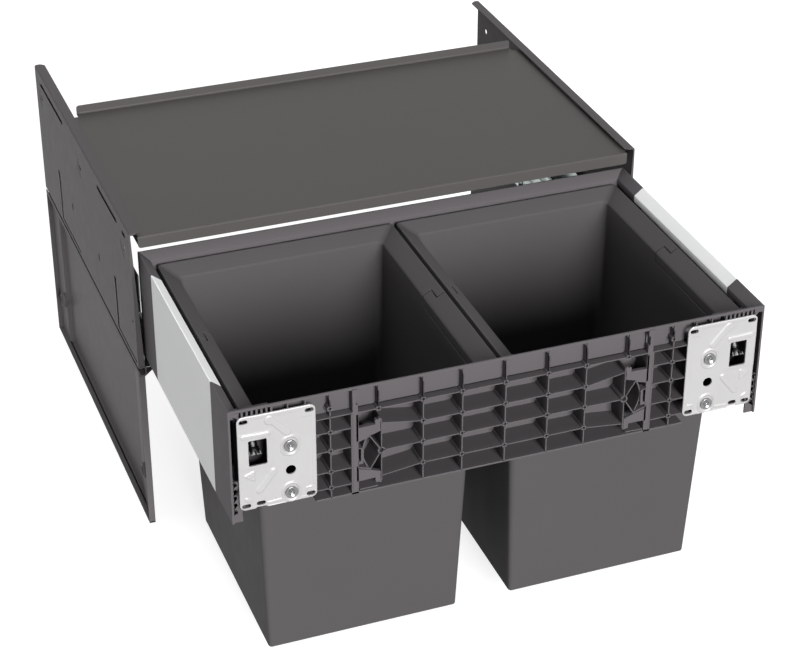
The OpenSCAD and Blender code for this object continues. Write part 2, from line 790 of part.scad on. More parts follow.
// Ribs of a corner piece, right side, in X and Z
module corner_ribs() {
  col = outer_column_share * frame_half;
  rows = [for (s = outer_row_shares) beam_z + s * beam_h];
  start = band_half + seat;
  plate_edge = fixing_mid_x - fixing_w / 2 + fixing_corner_r;
  difference() {
    union() {
      patch([col - rib_t / 2, beam_z], [col + rib_t / 2, deck_z]);
      for (z = rows) patch([start, z - rib_t / 2], [plate_edge, z + rib_t / 2]);
      patch([start, beam_z], [side_in, beam_z + rib_t]);
      patch([start, beam_z], [start + rib_t, deck_z]);
      for (z = rows) ring_at(col, z, ring_r);
      patch([plate_edge - rib_t / 2, beam_z], [plate_edge + rib_t / 2, deck_z]);
      patch([side_in - rib_t, beam_z], [side_in, deck_z]);
      for (z = screw_zs) translate([fixing_mid_x - screw_in, fixing_mid_z + z]) circle(clamp_head_r);
      for (z = screw_zs) patch([plate_edge, fixing_mid_z + z - rib_t / 2],
        [side_in, fixing_mid_z + z + rib_t / 2]);
    }
    ring_bores([col], rows, ring_bore_r);
    for (z = screw_zs) translate([fixing_mid_x - screw_in, fixing_mid_z + z]) circle(clamp_shank_r + peg_clear);
    window_cut(window_depth_clear / 2);
  }
}

// Space that the adjuster needs behind the window of a fixing plate
module window_cut(grow) {
  x = fixing_mid_x + window_out;
  z = fixing_mid_z + window_up;
  patch([x - window_w / 2 - grow, z - window_h / 2 - grow], [x + window_w / 2 + grow / 3, z + window_h / 2 + grow]);
}

// Place and tilt of the height adjuster
module adjuster_place() {
  translate([fixing_mid_x + window_out + adjuster_out, fixing_back_y + adjuster_set, fixing_mid_z + window_up])
    rotate([-adjuster_tilt, 0, 0]) children();
}

// Block that the adjuster's neck turns in
module adjuster_bearing(back) {
  x = fixing_mid_x + window_out + adjuster_out;
  difference() {
    block([x - bearing_half_w, back - shallow - rib_t, deck_z - bearing_h], [x + bearing_half_w, back, deck_z - seat]);
    adjuster_place() {
      translate([0, 0, -adjuster_l]) cylinder(r = adjuster_r + fit, h = 2 * adjuster_l + fit);
      cylinder(r = adjuster_neck_r + peg_clear, h = adjuster_l + adjuster_neck_l + fit);
    }
  }
}

// Small square holes at the lower outer end of the beam
module mesh_strip() {
  difference() {
    patch([inner_half, beam_z], [frame_half, beam_z + mesh_h]);
    for (i = [0 : mesh_rows - 1]) patch([inner_half + mesh_in, beam_z + rib_t + i * mesh_pitch],
      [inner_half + mesh_in + mesh_hole, beam_z + rib_t + i * mesh_pitch + mesh_hole]);
  }
}

// Front corner piece, drawn for the right side
module front_corner() {
  back = front_y + beam_depth;
  start = band_half + seat;
  color("#646163") home() union() {
    difference() {
      across(front_y, back - wall_t) corner_ribs();
      above_deck();
    }
    across(front_y + rib_t, front_y + 2 * rib_t) mesh_strip();
    adjuster_bearing(back);
    difference() {
      union() {
        block([start, back - wall_t, beam_z], [side_in, back, deck_z]);
        block([start, front_y + shallow - wall_t, deck_z - ledge_t], [inner_half, back, deck_z]);
        block([start, front_y + shallow - wall_t, deck_z - ledge_t], [inner_half, front_y + bevel_w, bevel_z]);
      }
      across(front_y - cut, back + cut) for (z = screw_zs)
        translate([fixing_mid_x - screw_in, fixing_mid_z + z]) circle(clamp_shank_r + peg_clear);
    }
    translate([0, front_y, 0]) along(start, frame_half - frame_t) beam_shell(frame_t, lip_drop);
    across(front_y, front_y + shallow) {
      rows = outer_row_shares;
      for (s = concat([outer_column_share], top_rib_shares))
        patch([s * frame_half - rib_t / 2, deck_z - rib_t], [s * frame_half + rib_t / 2, frame_top - lip_t]);
      for (i = [0 : comb_count - 1]) {
        x = comb_share * frame_half + i * comb_pitch;
        patch([x, frame_top - lip_t - comb_h], [x + comb_rib_t, frame_top - lip_t]);
      }
    }
    across(front_y, cover_front_y) side_shell(frame_t, lip_drop);
    block([inner_half, front_y, frame_z], [frame_half, front_y + 2 * rib_t, beam_z + rib_t]);
  }
}

// Rear bar with both rear corners
module rear_frame() {
  rail_door = side_in - wall_t - seat;
  color("#5b585a") home() difference() {
    union() {
      translate([0, rear_y, 0]) mirror([0, 1, 0]) along(-frame_half + frame_t, frame_half - frame_t)
        beam_shell(frame_t, bevel_z - deck_z + ledge_t);
      block([-frame_half, rear_y - frame_t, frame_z], [frame_half, rear_y, frame_top - frame_t]);
      block([-rail_door, rear_y - bevel_w - rear_ledge_w, deck_z - ledge_t],
        [rail_door, rear_y - bevel_w + frame_t, deck_z]);
      for (i = [0, 1]) mirror([i, 0, 0]) across(cover_rear_y, rear_y) side_shell(frame_t, lip_drop);
    }
    for (i = [0, 1]) mirror([i, 0, 0]) block([rail_door, rear_y - frame_t - cut, frame_z - cut],
      [frame_half - frame_t, rear_y + cut, rail_door_z]);
  }
}

// Inner wall of a drawer side, drawn for the right side
module side_wall() {
  face = side_in - wall_t;
  start = front_y + beam_depth + fit;
  end = rear_y - bevel_w - fit;
  color("#3b393a") home() union() {
    block([face, start, frame_z], [side_in, end, deck_z]);
    block([face - ledge_w, start, deck_z - ledge_t], [side_in, end - rear_ledge_w, deck_z]);
    block([face, start, deck_z - ledge_t], [side_in, end, bevel_z - wall_top_drop]);
    block([rail_mid - damper_in - catch_fin_t / 2, end - rear_ledge_w - catch_tab_l, frame_z],
      [side_in, end - rear_ledge_w, frame_z + wall_t]);
    block([rail_mid - damper_in - catch_fin_t / 2, end - rear_ledge_w - catch_tab_l, frame_z - catch_tab_h],
      [rail_mid - damper_in + catch_fin_t / 2, end - rear_ledge_w, frame_z + wall_t]);
  }
}

// Outer cover of a drawer side, drawn for the right side
module side_cover() {
  color("#d2d3d3") home() across(cover_front_y + seat, cover_rear_y - seat) side_shell(cover_t, lip_drop);
}

// Screws that clamp the fixing plates to the corner pieces
module clamp_screws() {
  y = fixing_back_y - fixing_t - fit;
  color("#a3abaf") home() for (i = [0, 1], z = screw_zs) mirror([i, 0, 0])
    translate([fixing_mid_x - screw_in, y, fixing_mid_z + z]) rotate([-90, 0, 0]) difference() {
      union() {
        translate([0, 0, -clamp_head_h]) cylinder(r = clamp_head_r, h = clamp_head_h);
        cylinder(r = clamp_shank_r, h = clamp_shank_l);
      }
      translate([0, 0, -clamp_head_h - cut]) cylinder(r = clamp_socket_r, h = clamp_head_h, $fn = 6);
    }
}

// Screws through the side walls into the drawer rails
module frame_screws() {
  color("#a3abaf") home() for (i = [0, 1], k = [1, 3, 5]) mirror([i, 0, 0])
    translate([side_in - wall_t - rivet_h, drawer_rail_front + k * drawer_rail_l / 6, bulb_z + stage_h + stage_h])
      rotate([0, 90, 0]) cylinder(r = rivet_r, h = rivet_h);
}

// Front fixing plate, drawn for the right side
module fixing_plate() {
  mid = [fixing_mid_x, fixing_mid_z];
  y0 = fixing_back_y - fixing_t;
  screws = [for (z = screw_zs) mid + [-screw_in, z]];
  color("#dcdadb") home() difference() {
    union() {
      across(y0, fixing_back_y) translate(mid) soft_rect(fixing_w, fixing_h, fixing_corner_r);
      across(y0 - boss_ring_h, y0) for (s = screws) translate(s) rotate(90) difference() {
        bar(2 * (boss_ring_r + emboss_h), boss_ring_r);
        bar(2 * (clamp_head_r + fit + adjust_travel), clamp_head_r + fit);
      }
      across(y0 - emboss_h, y0) translate(mid) {
        for (b = emboss_bars) translate([b[0] * fixing_w, b[1] * fixing_h]) rotate(b[2]) bar(b[3] * fixing_w, emboss_r * b[4]);
      }
    }
    across(y0 - 2 * cut, fixing_back_y + cut) {
      for (i = [-1, 1], j = [-1, 1]) translate(mid + [i * fixing_slot_x / 2, j * fixing_slot_z / 2])
        bar(fixing_slot_l, fixing_slot_r);
      translate(mid + [window_out - fixing_t, -fixing_slot_z * spare_slot_share]) bar(fixing_slot_l, fixing_slot_r);
      translate(mid + [-screw_in, spare_hole_z]) circle(spare_hole_r);
      translate(mid + [window_out, window_up]) square([window_w, window_h], center = true);
      for (s = screws) translate(s) rotate(90) bar(2 * (clamp_slot_r + adjust_travel), clamp_slot_r);
    }
  }
}

// Height adjuster behind the window, leaning forwards and down
module adjuster() {
  color("#b7babb") home() adjuster_place() difference() {
    union() {
      cylinder(r = adjuster_r, h = adjuster_l);
      cylinder(r = adjuster_neck_r, h = adjuster_l + adjuster_neck_l);
      translate([0, 0, -adjuster_head_l]) cylinder(r1 = adjuster_head_r, r2 = adjuster_r, h = adjuster_head_l);
    }
    for (a = [0, 90]) rotate([0, 0, a]) translate([0, 0, -adjuster_head_l])
      cube([2 * adjuster_r, adjuster_recess / 2, adjuster_recess * 2], center = true);
  }
}

// Slab of a bin's rounded plan shape at one height
module slab(hx, hy, z, r) translate([0, 0, z]) linear_extrude(skin) soft_rect(2 * hx, 2 * hy, r, hull_fn);

// Tapered body of a bin, w thicker than its inside
module bin_body(w, z0) {
  hull() {
    slab(open_half_x - side_draft + w - base_bevel, open_half_y - end_draft + w - base_bevel, z0, bin_corner_r);
    slab(open_half_x - side_draft + w, open_half_y - end_draft + w, z0 + base_bevel, bin_corner_r);
    slab(open_half_x + w, open_half_y + w, open_z, bin_corner_r);
  }
}

// Funnel-shaped space above the sloped rim, lowered by d
module funnel(d) {
  hull() {
    slab(open_half_x, open_half_y, open_z - d, bin_corner_r);
    slab(rim_half_x - rim_land, rim_half_y - rim_land, rim_z - d, rim_corner_r);
  }
}

// Rim over its whole length: slope, outer skirt down to z and inner wall of thickness w
module rim_shape(w, z) {
  difference() {
    up(z, rim_z) soft_rect(2 * rim_half_x, 2 * rim_half_y, rim_corner_r);
    difference() {
      up(z - cut, rim_z - rim_t) soft_rect(2 * (rim_half_x - rim_t), 2 * (rim_half_y - rim_t), rim_corner_r - rim_t);
      funnel(rim_t);
      up(z - 2 * cut, open_z - rim_t + skin) soft_rect(2 * (open_half_x + w), 2 * (open_half_y + w), bin_corner_r + w);
    }
  }
}

// Flat ring round the opening, from w0 to w1 outside it
module ring(w0, w1, z0, z1) {
  difference() {
    up(z0, z1) soft_rect(2 * (open_half_x + w1), 2 * (open_half_y + w1), bin_corner_r + min(w1, riser_out));
    up(z0 - cut, z1 + cut) soft_rect(2 * (open_half_x + w0), 2 * (open_half_y + w0), bin_corner_r + w0);
  }
}

// Region of the rim that belongs to the handle, its edges moved out by g
module hand_region(g) {
  mid = open_half_x + seam_mid_in + g;
  front = -rim_half_y - cut;
  z = hand_z - g / 2;
  block([-mid, front, z], [mid, seam_in_y + g, rim_z + cut]);
  block([-rim_half_x - cut, front, z], [rim_half_x + cut, seam_out_y + g, rim_z + cut]);
}

// Space inside the opening, down to height z
module mouth(z) up(z, open_z + cut) soft_rect(2 * open_half_x, 2 * open_half_y, bin_corner_r);

// Bin with the rear half of its rim, centred on its own middle
module bin_shape() {
  lug_x = open_half_x + seam_mid_in;
  skirt_z = rim_z - rim_skirt;
  under_z = hand_z - seam_gap / 2;
  reach_y = seam_out_y + seam_gap + lug_l;
  difference() {
    union() {
      difference() {
        union() {
          bin_body(bin_t, bin_z);
          rim_shape(bin_t, skirt_z);
          for (i = [-1, 1]) translate([i * (lug_x + rim_half_x) / 2, 0, 0])
            block([-(rim_half_x - lug_x) / 2 + seat, seam_out_y, skirt_z + bin_t],
              [(rim_half_x - lug_x) / 2 - seat, reach_y, rim_z - seat]);
        }
        hand_region(seam_gap);
        difference() {
          block([-rim_half_x - cut, seam_out_y, pivot_z], [rim_half_x + cut, pivot_y, rim_z + cut]);
          translate([-rim_half_x - 2 * cut, pivot_y, pivot_z]) rotate([0, 90, 0])
            cylinder(r = pivot_y - seam_out_y - seam_gap / 2, h = 2 * rim_half_x + 4 * cut);
        }
      }
      intersection() {
        union() {
          ring(-bin_t, riser_out, under_z - hand_wall, under_z);
          ring(riser_in, riser_out, under_z - hand_wall, skirt_z + bin_t);
          ring(riser_in, rim_w, skirt_z, skirt_z + bin_t);
        }
        block([-rim_half_x - cut, -rim_half_y - cut, 0], [rim_half_x + cut, reach_y, rim_z]);
      }
    }
    bin_body(0, bin_z + bin_t);
    funnel(0);
    mouth(open_z - skin);
    for (i = [0, 1]) mirror([i, 0, 0]) translate([lug_x - cut, pivot_y, pivot_z]) rotate([0, 90, 0])
      cylinder(r = peg_r + peg_clear, h = peg_l + cut + fit);
  }
}

// Bail handle, the front half of the rim, centred on the bin's middle
module handle_shape() {
  lug_x = open_half_x + seam_mid_in;
  foot = rim_z - rim_skirt + bin_t + fit;
  difference() {
    intersection() {
      union() {
        rim_shape(hand_wall, foot);
        ring(0, hand_wall, hand_z, open_z);
        for (i = [0, 1]) mirror([i, 0, 0]) block([lug_x - hand_wall, seam_out_y - lug_l / 3, pivot_z - side_leaf_drop],
          [lug_x, seam_in_y, rim_z - rim_land]);
      }
      hand_region(0);
    }
    funnel(0);
    mouth(hand_z - cut);
  }
  for (i = [0, 1]) mirror([i, 0, 0]) translate([lug_x - cut, pivot_y, pivot_z]) rotate([0, 90, 0])
    cylinder(r = peg_r, h = peg_l + cut);
}

module bin(side) color("#5c5a5b") home() translate([side * bin_x, bin_y, 0]) bin_shape();

module bin_handle(side) color("#555354") home() translate([side * bin_x, bin_y, 0]) handle_shape();

left() side_plate();  // side_plate_left
side_plate();  // side_plate_right
left() lower_guard();  // lower_guard_left
lower_guard();  // lower_guard_right
shelf_lid();
left() cabinet_rail();  // cabinet_rail_left
cabinet_rail();  // cabinet_rail_right
left() rail_bracket();  // rail_bracket_left
rail_bracket();  // rail_bracket_right
left() front_stop();  // front_stop_left
front_stop();  // front_stop_right
left() damper_housing();  // damper_housing_left
damper_housing();  // damper_housing_right
rail_rivets();
left() damper_catch();  // damper_catch_left
damper_catch();  // damper_catch_right
left() middle_rail();  // middle_rail_left
middle_rail();  // middle_rail_right
left() cage(bulb_z, lower_cage_front, lower_cage_l);  // lower_cage_left
cage(bulb_z, lower_cage_front, lower_cage_l);  // lower_cage_right
left() cage(bulb_z + stage_h, upper_cage_front, upper_cage_l);  // upper_cage_left
cage(bulb_z + stage_h, upper_cage_front, upper_cage_l);  // upper_cage_right
front_beam();
left() front_corner();  // front_corner_left
front_corner();  // front_corner_right
rear_frame();
left() side_wall();  // side_wall_left
side_wall();  // side_wall_right
left() side_cover();  // side_cover_left
side_cover();  // side_cover_right
left() drawer_rail();  // drawer_rail_left
drawer_rail();  // drawer_rail_right
clamp_screws();
frame_screws();
left() fixing_plate();  // fixing_plate_left
fixing_plate();  // fixing_plate_right
left() adjuster();  // adjuster_left
adjuster();  // adjuster_right
bin(-1);  // bin_left
bin(1);  // bin_right
bin_handle(-1);  // bin_handle_left
bin_handle(1);  // bin_handle_right
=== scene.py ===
import math
from functools import cache

import bmesh
import bpy
from bpy.props import FloatProperty, FloatVectorProperty, IntProperty, PointerProperty
from mathutils import Matrix, Vector


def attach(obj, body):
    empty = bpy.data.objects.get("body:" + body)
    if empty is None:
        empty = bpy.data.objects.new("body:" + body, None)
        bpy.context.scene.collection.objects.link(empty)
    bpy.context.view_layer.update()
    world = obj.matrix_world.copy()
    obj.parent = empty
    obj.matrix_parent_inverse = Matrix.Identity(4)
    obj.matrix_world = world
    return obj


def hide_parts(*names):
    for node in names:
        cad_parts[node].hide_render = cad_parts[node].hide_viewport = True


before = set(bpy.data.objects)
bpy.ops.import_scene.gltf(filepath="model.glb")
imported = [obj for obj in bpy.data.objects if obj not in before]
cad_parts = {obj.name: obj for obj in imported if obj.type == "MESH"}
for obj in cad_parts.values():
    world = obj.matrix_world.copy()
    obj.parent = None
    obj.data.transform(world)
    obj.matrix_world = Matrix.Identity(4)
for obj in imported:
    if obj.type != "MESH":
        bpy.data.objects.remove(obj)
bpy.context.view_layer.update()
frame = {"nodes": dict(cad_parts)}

bl_info = {
    "name": "Pull-out waste bin unit",
    "version": (1, 0, 0),
    "blender": (4, 5, 0),
    "location": "3D View > Sidebar > Bin unit",
    "description": "Builds a pull-out waste bin unit round its packed solids",
    "category": "Add Mesh",
}

# The unit is measured in millimetres from the front edge of its side plates
MM = 0.001
HOME = -64.9
SIDES = (("left", -1), ("right", 1))


# Shader expressions

class Num:
    """A shader value. An expression on it adds its Math nodes."""

    def __init__(self, tree, socket):
        self.tree, self.socket = tree, socket

    def math(self, operation, *values):
        node = self.tree.nodes.new("ShaderNodeMath")
        node.operation = operation
        for slot, value in zip(node.inputs, values):
            if isinstance(value, Num):
                self.tree.links.new(value.socket, slot)
            else:
                slot.default_value = value
        return Num(self.tree, node.outputs[0])

    def __add__(self, other): return self.math("ADD", self, other)
    def __radd__(self, other): return self.math("ADD", other, self)
    def __mul__(self, other): return self.math("MULTIPLY", self, other)
    def __rmul__(self, other): return self.math("MULTIPLY", other, self)
    def clamp(self): return self.math("MINIMUM", self.math("MAXIMUM", self, 0.0), 1.0)


class Nodes:
    """A node tree that is being filled."""

    def __init__(self, tree):
        self.tree = tree
        tree.nodes.clear()

    def node(self, kind, settings=(), **sockets):
        """Adds a node. A socket is given by name, with _ for a space, or as i and its number."""
        node = self.tree.nodes.new(kind)
        for key, value in dict(settings).items():
            setattr(node, key, value)
        for key, value in sockets.items():
            slot = node.inputs[int(key[1:]) if key[1:].isdigit() else key.replace("_", " ")]
            if isinstance(value, Num):
                value = value.socket
            if isinstance(value, bpy.types.NodeSocket):
                self.tree.links.new(value, slot)
            else:
                slot.default_value = value
        return node

    def num(self, node, output=0):
        return Num(self.tree, node.outputs[output])

    def direct_ray(self):
        """1 for a ray from the camera, a mirror or glass, and 0 for a scattered one."""
        path = self.node("ShaderNodeLightPath")
        camera, glossy, through = (self.num(path, f"Is {kind} Ray")
                                   for kind in ("Camera", "Glossy", "Transmission"))
        return (camera + glossy + through).clamp()


class Shader(Nodes):
    """A material that is being filled."""

    def __init__(self, name):
        self.material = bpy.data.materials.new(name)
        self.material.use_nodes = True
        super().__init__(self.material.node_tree)

    def place(self):
        return self.node("ShaderNodeTexCoord").outputs["Object"]

    def noise(self, scale, detail=2.0, rough=0.5):
        return self.num(self.node("ShaderNodeTexNoise", Vector=self.place(), Scale=scale,
                                  Detail=detail, Roughness=rough))

    def drift(self, factor, colour, low, high):
        """A colour that drifts between a darker and a lighter tone."""
        dark, light = (tuple(c * tone for c in colour[:3]) + (1.0,) for tone in (low, high))
        return self.node("ShaderNodeMix", {"data_type": "RGBA"}, i0=factor, i6=dark, i7=light).outputs[2]

    def bump(self, height, depth, strength=1.0):
        return self.node("ShaderNodeBump", Strength=strength, Distance=depth, Height=height).outputs[0]

    def finish(self, surface):
        self.node("ShaderNodeOutputMaterial", Surface=surface.outputs[0])
        return self.material

    def coat(self, **sockets):
        return self.finish(self.node("ShaderNodeBsdfPrincipled", **sockets))


def seen_colour(text):
    """A linear colour from its six figures as seen on a screen."""
    parts = [int(text[i:i + 2], 16) / 255 for i in (0, 2, 4)]
    return tuple(c / 12.92 if c <= 0.04045 else ((c + 0.055) / 1.055) ** 2.4 for c in parts)


# Sizes and colours that a user would change

def colour_property(name, description, text):
    return FloatVectorProperty(name=name, description=description, default=seen_colour(text),
                               size=3, min=0, max=1, subtype="COLOR")


def length_property(name, description, millimetres):
    return FloatProperty(name=name, description=description, default=millimetres * MM,
                         min=0, unit="LENGTH", subtype="DISTANCE")


class BinUnitColours(bpy.types.PropertyGroup):
    steel: colour_property("Coated steel", "Colour of the side plates", "504d4e")
    # The guards share the side plates' powder coat. Their lighter tone here is painted light, standing in for
    # the light that their angled panels catch.
    guard: colour_property("Guards", "Colour of the lower guards", "5c595a")
    lid: colour_property("Lid", "Colour of the shelf lid", "494746")
    frame: colour_property("Frame", "Colour of the drawer frame's plastic", "545153")
    wall: colour_property("Inner walls", "Colour of the drawer's inner walls", "2f2c2d")
    cover: colour_property("Covers", "Colour of the white side covers", "dfe0e0")
    bins: colour_property("Bins", "Colour of the bins and their handles", "4a4849")
    zinc: colour_property("Zinc", "Colour of the zinc-plated fixing plates", "a09f9f")
    runner: colour_property("Runners", "Colour of the runner steel", "aab2b0")
    screw: colour_property("Screws", "Colour of the screws", "858586")
    black: colour_property("Black plastic", "Colour of the dampers and stops", "232223")
    cage: colour_property("Ball cages", "Colour of the ball cages", "d8d6cc")


class BinUnitSizes(bpy.types.PropertyGroup):
    bin_edge: length_property("Bin edge radius", "Radius on the bins' edges", 0.6)
    handle_edge: length_property("Handle edge radius", "Radius on the handles' edges", 0.4)
    screw_edge: length_property("Screw edge radius", "Radius on the clamp screws' edges", 0.3)
    rib: length_property("Rib thickness", "Thickness of the front beam's ribs", 1.15)
    ring: length_property("Ring radius", "Outer radius of the rings where ribs cross", 2.8)
    ring_bore: length_property("Ring bore", "Bore radius of those rings", 1.45)
    beam_depth: length_property("Beam depth", "Depth of the front beam's cells", 25.0)
    top_row_depth: length_property("Top row depth", "Depth of the cells under the upper lip", 8.5)
    screw_head: length_property("Screw head radius", "Radius of the clamp screws' heads", 6.2)
    screw_height: length_property("Screw head height", "Height of the clamp screws' heads", 1.6)
    socket: length_property("Socket radius", "Radius over the corners of the hex sockets", 2.8)
    emboss: length_property("Emboss height", "Height of the ridges pressed into the fixing plates", 0.9)
    grid: length_property("Plate grid", "Spacing of the fixing plates' mesh", 0.6)
    corner_steps: IntProperty(name="Corner steps", description="Steps round a bin's corner",
                              default=10, min=4, max=16)


# Meshes

def new_object(name, data):
    piece = bpy.data.objects.new(name, data)
    bpy.context.scene.collection.objects.link(piece)
    return piece


def evaluated_mesh(piece):
    bpy.context.view_layer.update()
    return bpy.data.meshes.new_from_object(piece.evaluated_get(bpy.context.evaluated_depsgraph_get()))


AXES = {"x": lambda u, v, w: (w, u, v), "y": lambda u, v, w: (u, w, v), "z": lambda u, v, w: (u, v, w)}


def arc(cx, cy, r, start, end, steps=6):
    """Points of an arc, angles in degrees."""
    turns = [math.radians(start + (end - start) * i / steps) for i in range(steps + 1)]
    return [(cx + r * math.cos(a), cy + r * math.sin(a)) for a in turns]


def circle(cx, cy, r, steps=24):
    return arc(cx, cy, r, 0, 360 * (steps - 1) / steps, steps - 1)


def rounded(hx, hy, r, steps=8):
    """A centred rectangle with round corners, anticlockwise."""
    points = []
    for sx, sy, start in ((1, 1, 0), (-1, 1, 90), (-1, -1, 180), (1, -1, 270)):
        points += arc(sx * (hx - r), sy * (hy - r), r, start, start + 90, steps)
    return points


def set_points(points, angle, cx=0.0, cy=0.0):
    """Flat points turned by an angle in degrees, then moved."""
    cos, sin = math.cos(math.radians(angle)), math.sin(math.radians(angle))
    return [(cx + u * cos - v * sin, cy + u * sin + v * cos) for u, v in points]


def slot_outline(cx, cy, length, r, angle=0.0):
    """A long hole with round ends, turned by an angle in degrees."""
    ends = arc(length / 2 - r, 0, r, -90, 90, 8) + arc(r - length / 2, 0, r, 90, 270, 8)
    return set_points(ends, angle, cx, cy)


class Solid:
    """Closed shells collected in millimetres."""

    def __init__(self):
        self.mesh = bmesh.new()

    def faces(self, points, faces):
        verts = [self.mesh.verts.new(p) for p in points]
        for face in faces:
            self.mesh.faces.new([verts[i] for i in face])
        return self

    def loft(self, rings, closed=False):
        """A skin over rings of as many points each, capped unless the last meets the first."""
        n, m = len(rings[0]), len(rings)
        faces = []
        for k in range(m if closed else m - 1):
            a, b = k * n, (k + 1) % m * n
            faces += [(a + i, a + (i + 1) % n, b + (i + 1) % n, b + i) for i in range(n)]
        if not closed:
            faces += [tuple(reversed(range(n))), tuple(range((m - 1) * n, m * n))]
        return self.faces([p for ring in rings for p in ring], faces)

    def prism(self, outline, axis, lo, hi):
        put = AXES[axis]
        return self.loft([[put(u, v, w) for u, v in outline] for w in (lo, hi)])

    def block(self, lo, hi):
        return self.prism([(lo[0], lo[1]), (hi[0], lo[1]), (hi[0], hi[1]), (lo[0], hi[1])], "z", lo[2], hi[2])

    def turned(self, profile, axis, centre, steps=24):
        """A profile of radius and place along an axis, turned round it."""
        put = AXES[axis]
        turns = [2 * math.pi * i / steps for i in range(steps)]
        return self.loft([[put(centre[0] + r * math.cos(a), centre[1] + r * math.sin(a), w) for a in turns]
                          for r, w in profile])

    def absorb(self, mesh):
        self.mesh.from_mesh(mesh)
        return self

    def mirrored(self, side):
        if side < 0:
            bmesh.ops.scale(self.mesh, vec=(-1, 1, 1), verts=self.mesh.verts)
        return self

    def moved(self, x=0, y=0, z=0):
        bmesh.ops.translate(self.mesh, vec=(x, y, z), verts=self.mesh.verts)
        return self

    def to_mesh(self, name="work"):
        bmesh.ops.recalc_face_normals(self.mesh, faces=self.mesh.faces)
        mesh = bpy.data.meshes.new(name)
        self.mesh.to_mesh(mesh)
        return mesh

    def carved(self, tool, operation="DIFFERENCE"):
        """This solid less another, or what both share."""
        base, other = new_object("carve_base", self.to_mesh()), new_object("carve_tool", tool.to_mesh())
        carve = base.modifiers.new("carve", "BOOLEAN")
        carve.operation, carve.object, carve.solver = operation, other, "EXACT"
        result = Solid()
        result.mesh.from_mesh(evaluated_mesh(base))
        bmesh.ops.dissolve_degenerate(result.mesh, dist=1e-4, edges=result.mesh.edges)
        for used in (base, other):
            bpy.data.objects.remove(used)
        return result


def settle(piece):
    """Makes what a piece's modifiers give its mesh."""
    mesh = evaluated_mesh(piece)
    piece.modifiers.clear()
    piece.data = mesh
    mesh.name = piece.name


def make(name, solid, body, nodes, slot, edge=0.0, smooth=22.0):
    """The finished piece: its mesh in metres in the unit's frame, with its edges rounded."""
    mesh = solid.to_mesh(name)
    mesh.transform(Matrix.Diagonal((MM, MM, MM, 1)) @ Matrix.Translation((0, HOME, 0)))
    piece = new_object(name, mesh)
    if edge:
        bevel = piece.modifiers.new("edges", "BEVEL")
        bevel.width, bevel.segments, bevel.use_clamp_overlap = edge, 2, False
        bevel.limit_method, bevel.angle_limit = "ANGLE", math.radians(40)
        settle(piece)
    for polygon in piece.data.polygons:
        polygon.use_smooth = True
    piece.data.set_sharp_from_angle(angle=math.radians(smooth))
    piece.modifiers.new("normals", "WEIGHTED_NORMAL").keep_sharp = True
    settle(piece)
    piece.data.materials.clear()
    piece.data.materials.append(finish_of(slot))
    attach(piece, body)
    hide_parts(*nodes)
    return piece


def coat_node(node, slot):
    """A CAD node that stays visible gets a finished material."""
    piece = frame["nodes"][node]
    if not piece.data.materials:
        piece.data.materials.append(finish_of(slot))
    for holder in piece.material_slots:
        holder.link = "OBJECT"
        holder.material = finish_of(slot)


# Geometry Nodes

class Tree(Nodes):
    """A Geometry Nodes tree with named inputs."""

    def __init__(self, name, **inputs):
        super().__init__(bpy.data.node_groups.new(name, "GeometryNodeTree"))
        face = self.tree.interface
        for way in ("INPUT", "OUTPUT"):
            face.new_socket("Geometry", in_out=way, socket_type="NodeSocketGeometry")
        kinds = {float: "NodeSocketFloat", int: "NodeSocketInt"}
        for key, value in inputs.items():
            kind = kinds.get(type(value), "NodeSocketMaterial")
            socket = face.new_socket(key, in_out="INPUT", socket_type=kind)
            if type(value) in kinds:
                socket.default_value = value
        self.start = self.node("NodeGroupInput")

    def values(self, *keys):
        return [self.start.outputs[key] for key in keys]

    def math(self, operation, a, b):
        return self.node("ShaderNodeMath", {"operation": operation}, i0=a, i1=b).outputs[0]

    def times(self, a, b):
        return self.math("MULTIPLY", a, b)

    def vector(self, x=0.0, y=0.0, z=0.0):
        return self.node("ShaderNodeCombineXYZ", X=x, Y=y, Z=z).outputs[0]

    def moved(self, piece, **sockets):
        return self.node("GeometryNodeTransform", Geometry=piece, **sockets).outputs[0]

    def drum(self, sides, radius, depth):
        return self.node("GeometryNodeMeshCylinder", {"fill_type": "NGON"}, Vertices=sides,
                         Radius=radius, Depth=depth).outputs[0]

    def swept(self, path, width, height, **sockets):
        """A path given a rectangular section, its height along Z."""
        upright = self.node("GeometryNodeSetCurveNormal", {"mode": "Z_UP"}, Curve=path.outputs[0])
        section = self.node("GeometryNodeCurvePrimitiveQuadrilateral", Width=width, Height=height)
        return self.node("GeometryNodeCurveToMesh", Curve=upright.outputs[0],
                         Profile_Curve=section.outputs[0], **sockets).outputs[0]

    def cut(self, piece, *tools):
        """A piece less its tools."""
        cut = self.node("GeometryNodeMeshBoolean", {"operation": "DIFFERENCE"}, Mesh_1=piece)
        for tool in tools:
            self.tree.links.new(tool, cut.inputs["Mesh 2"])
        return cut.outputs[0]

    def on_points(self, piece):
        """A copy of a piece on each point that the tree is given."""
        return self.node("GeometryNodeInstanceOnPoints", Points=self.start.outputs["Geometry"],
                         Instance=piece).outputs[0]

    def finish(self, geometry):
        real = self.node("GeometryNodeRealizeInstances", Geometry=geometry)
        coated = self.node("GeometryNodeSetMaterial", Geometry=real.outputs[0],
                           Material=self.start.outputs["Material"])
        self.node("NodeGroupOutput", i0=coated.outputs[0])
        return self.tree


def run_tree(tree, points, edges, slot, **values):
    """A plain mesh of what a tree makes from points and edges in millimetres."""
    mesh = bpy.data.meshes.new("seed")
    mesh.from_pydata(points, edges, [])
    holder = new_object("seed", mesh)
    modifier = holder.modifiers.new("tree", "NODES")
    modifier.node_group = tree
    values["Material"] = finish_of(slot)
    for item in tree.interface.items_tree:
        if item.item_type == "SOCKET" and item.in_out == "INPUT" and item.name in values:
            modifier[item.identifier] = values[item.name]
    result = evaluated_mesh(holder)
    bpy.data.objects.remove(holder)
    return result


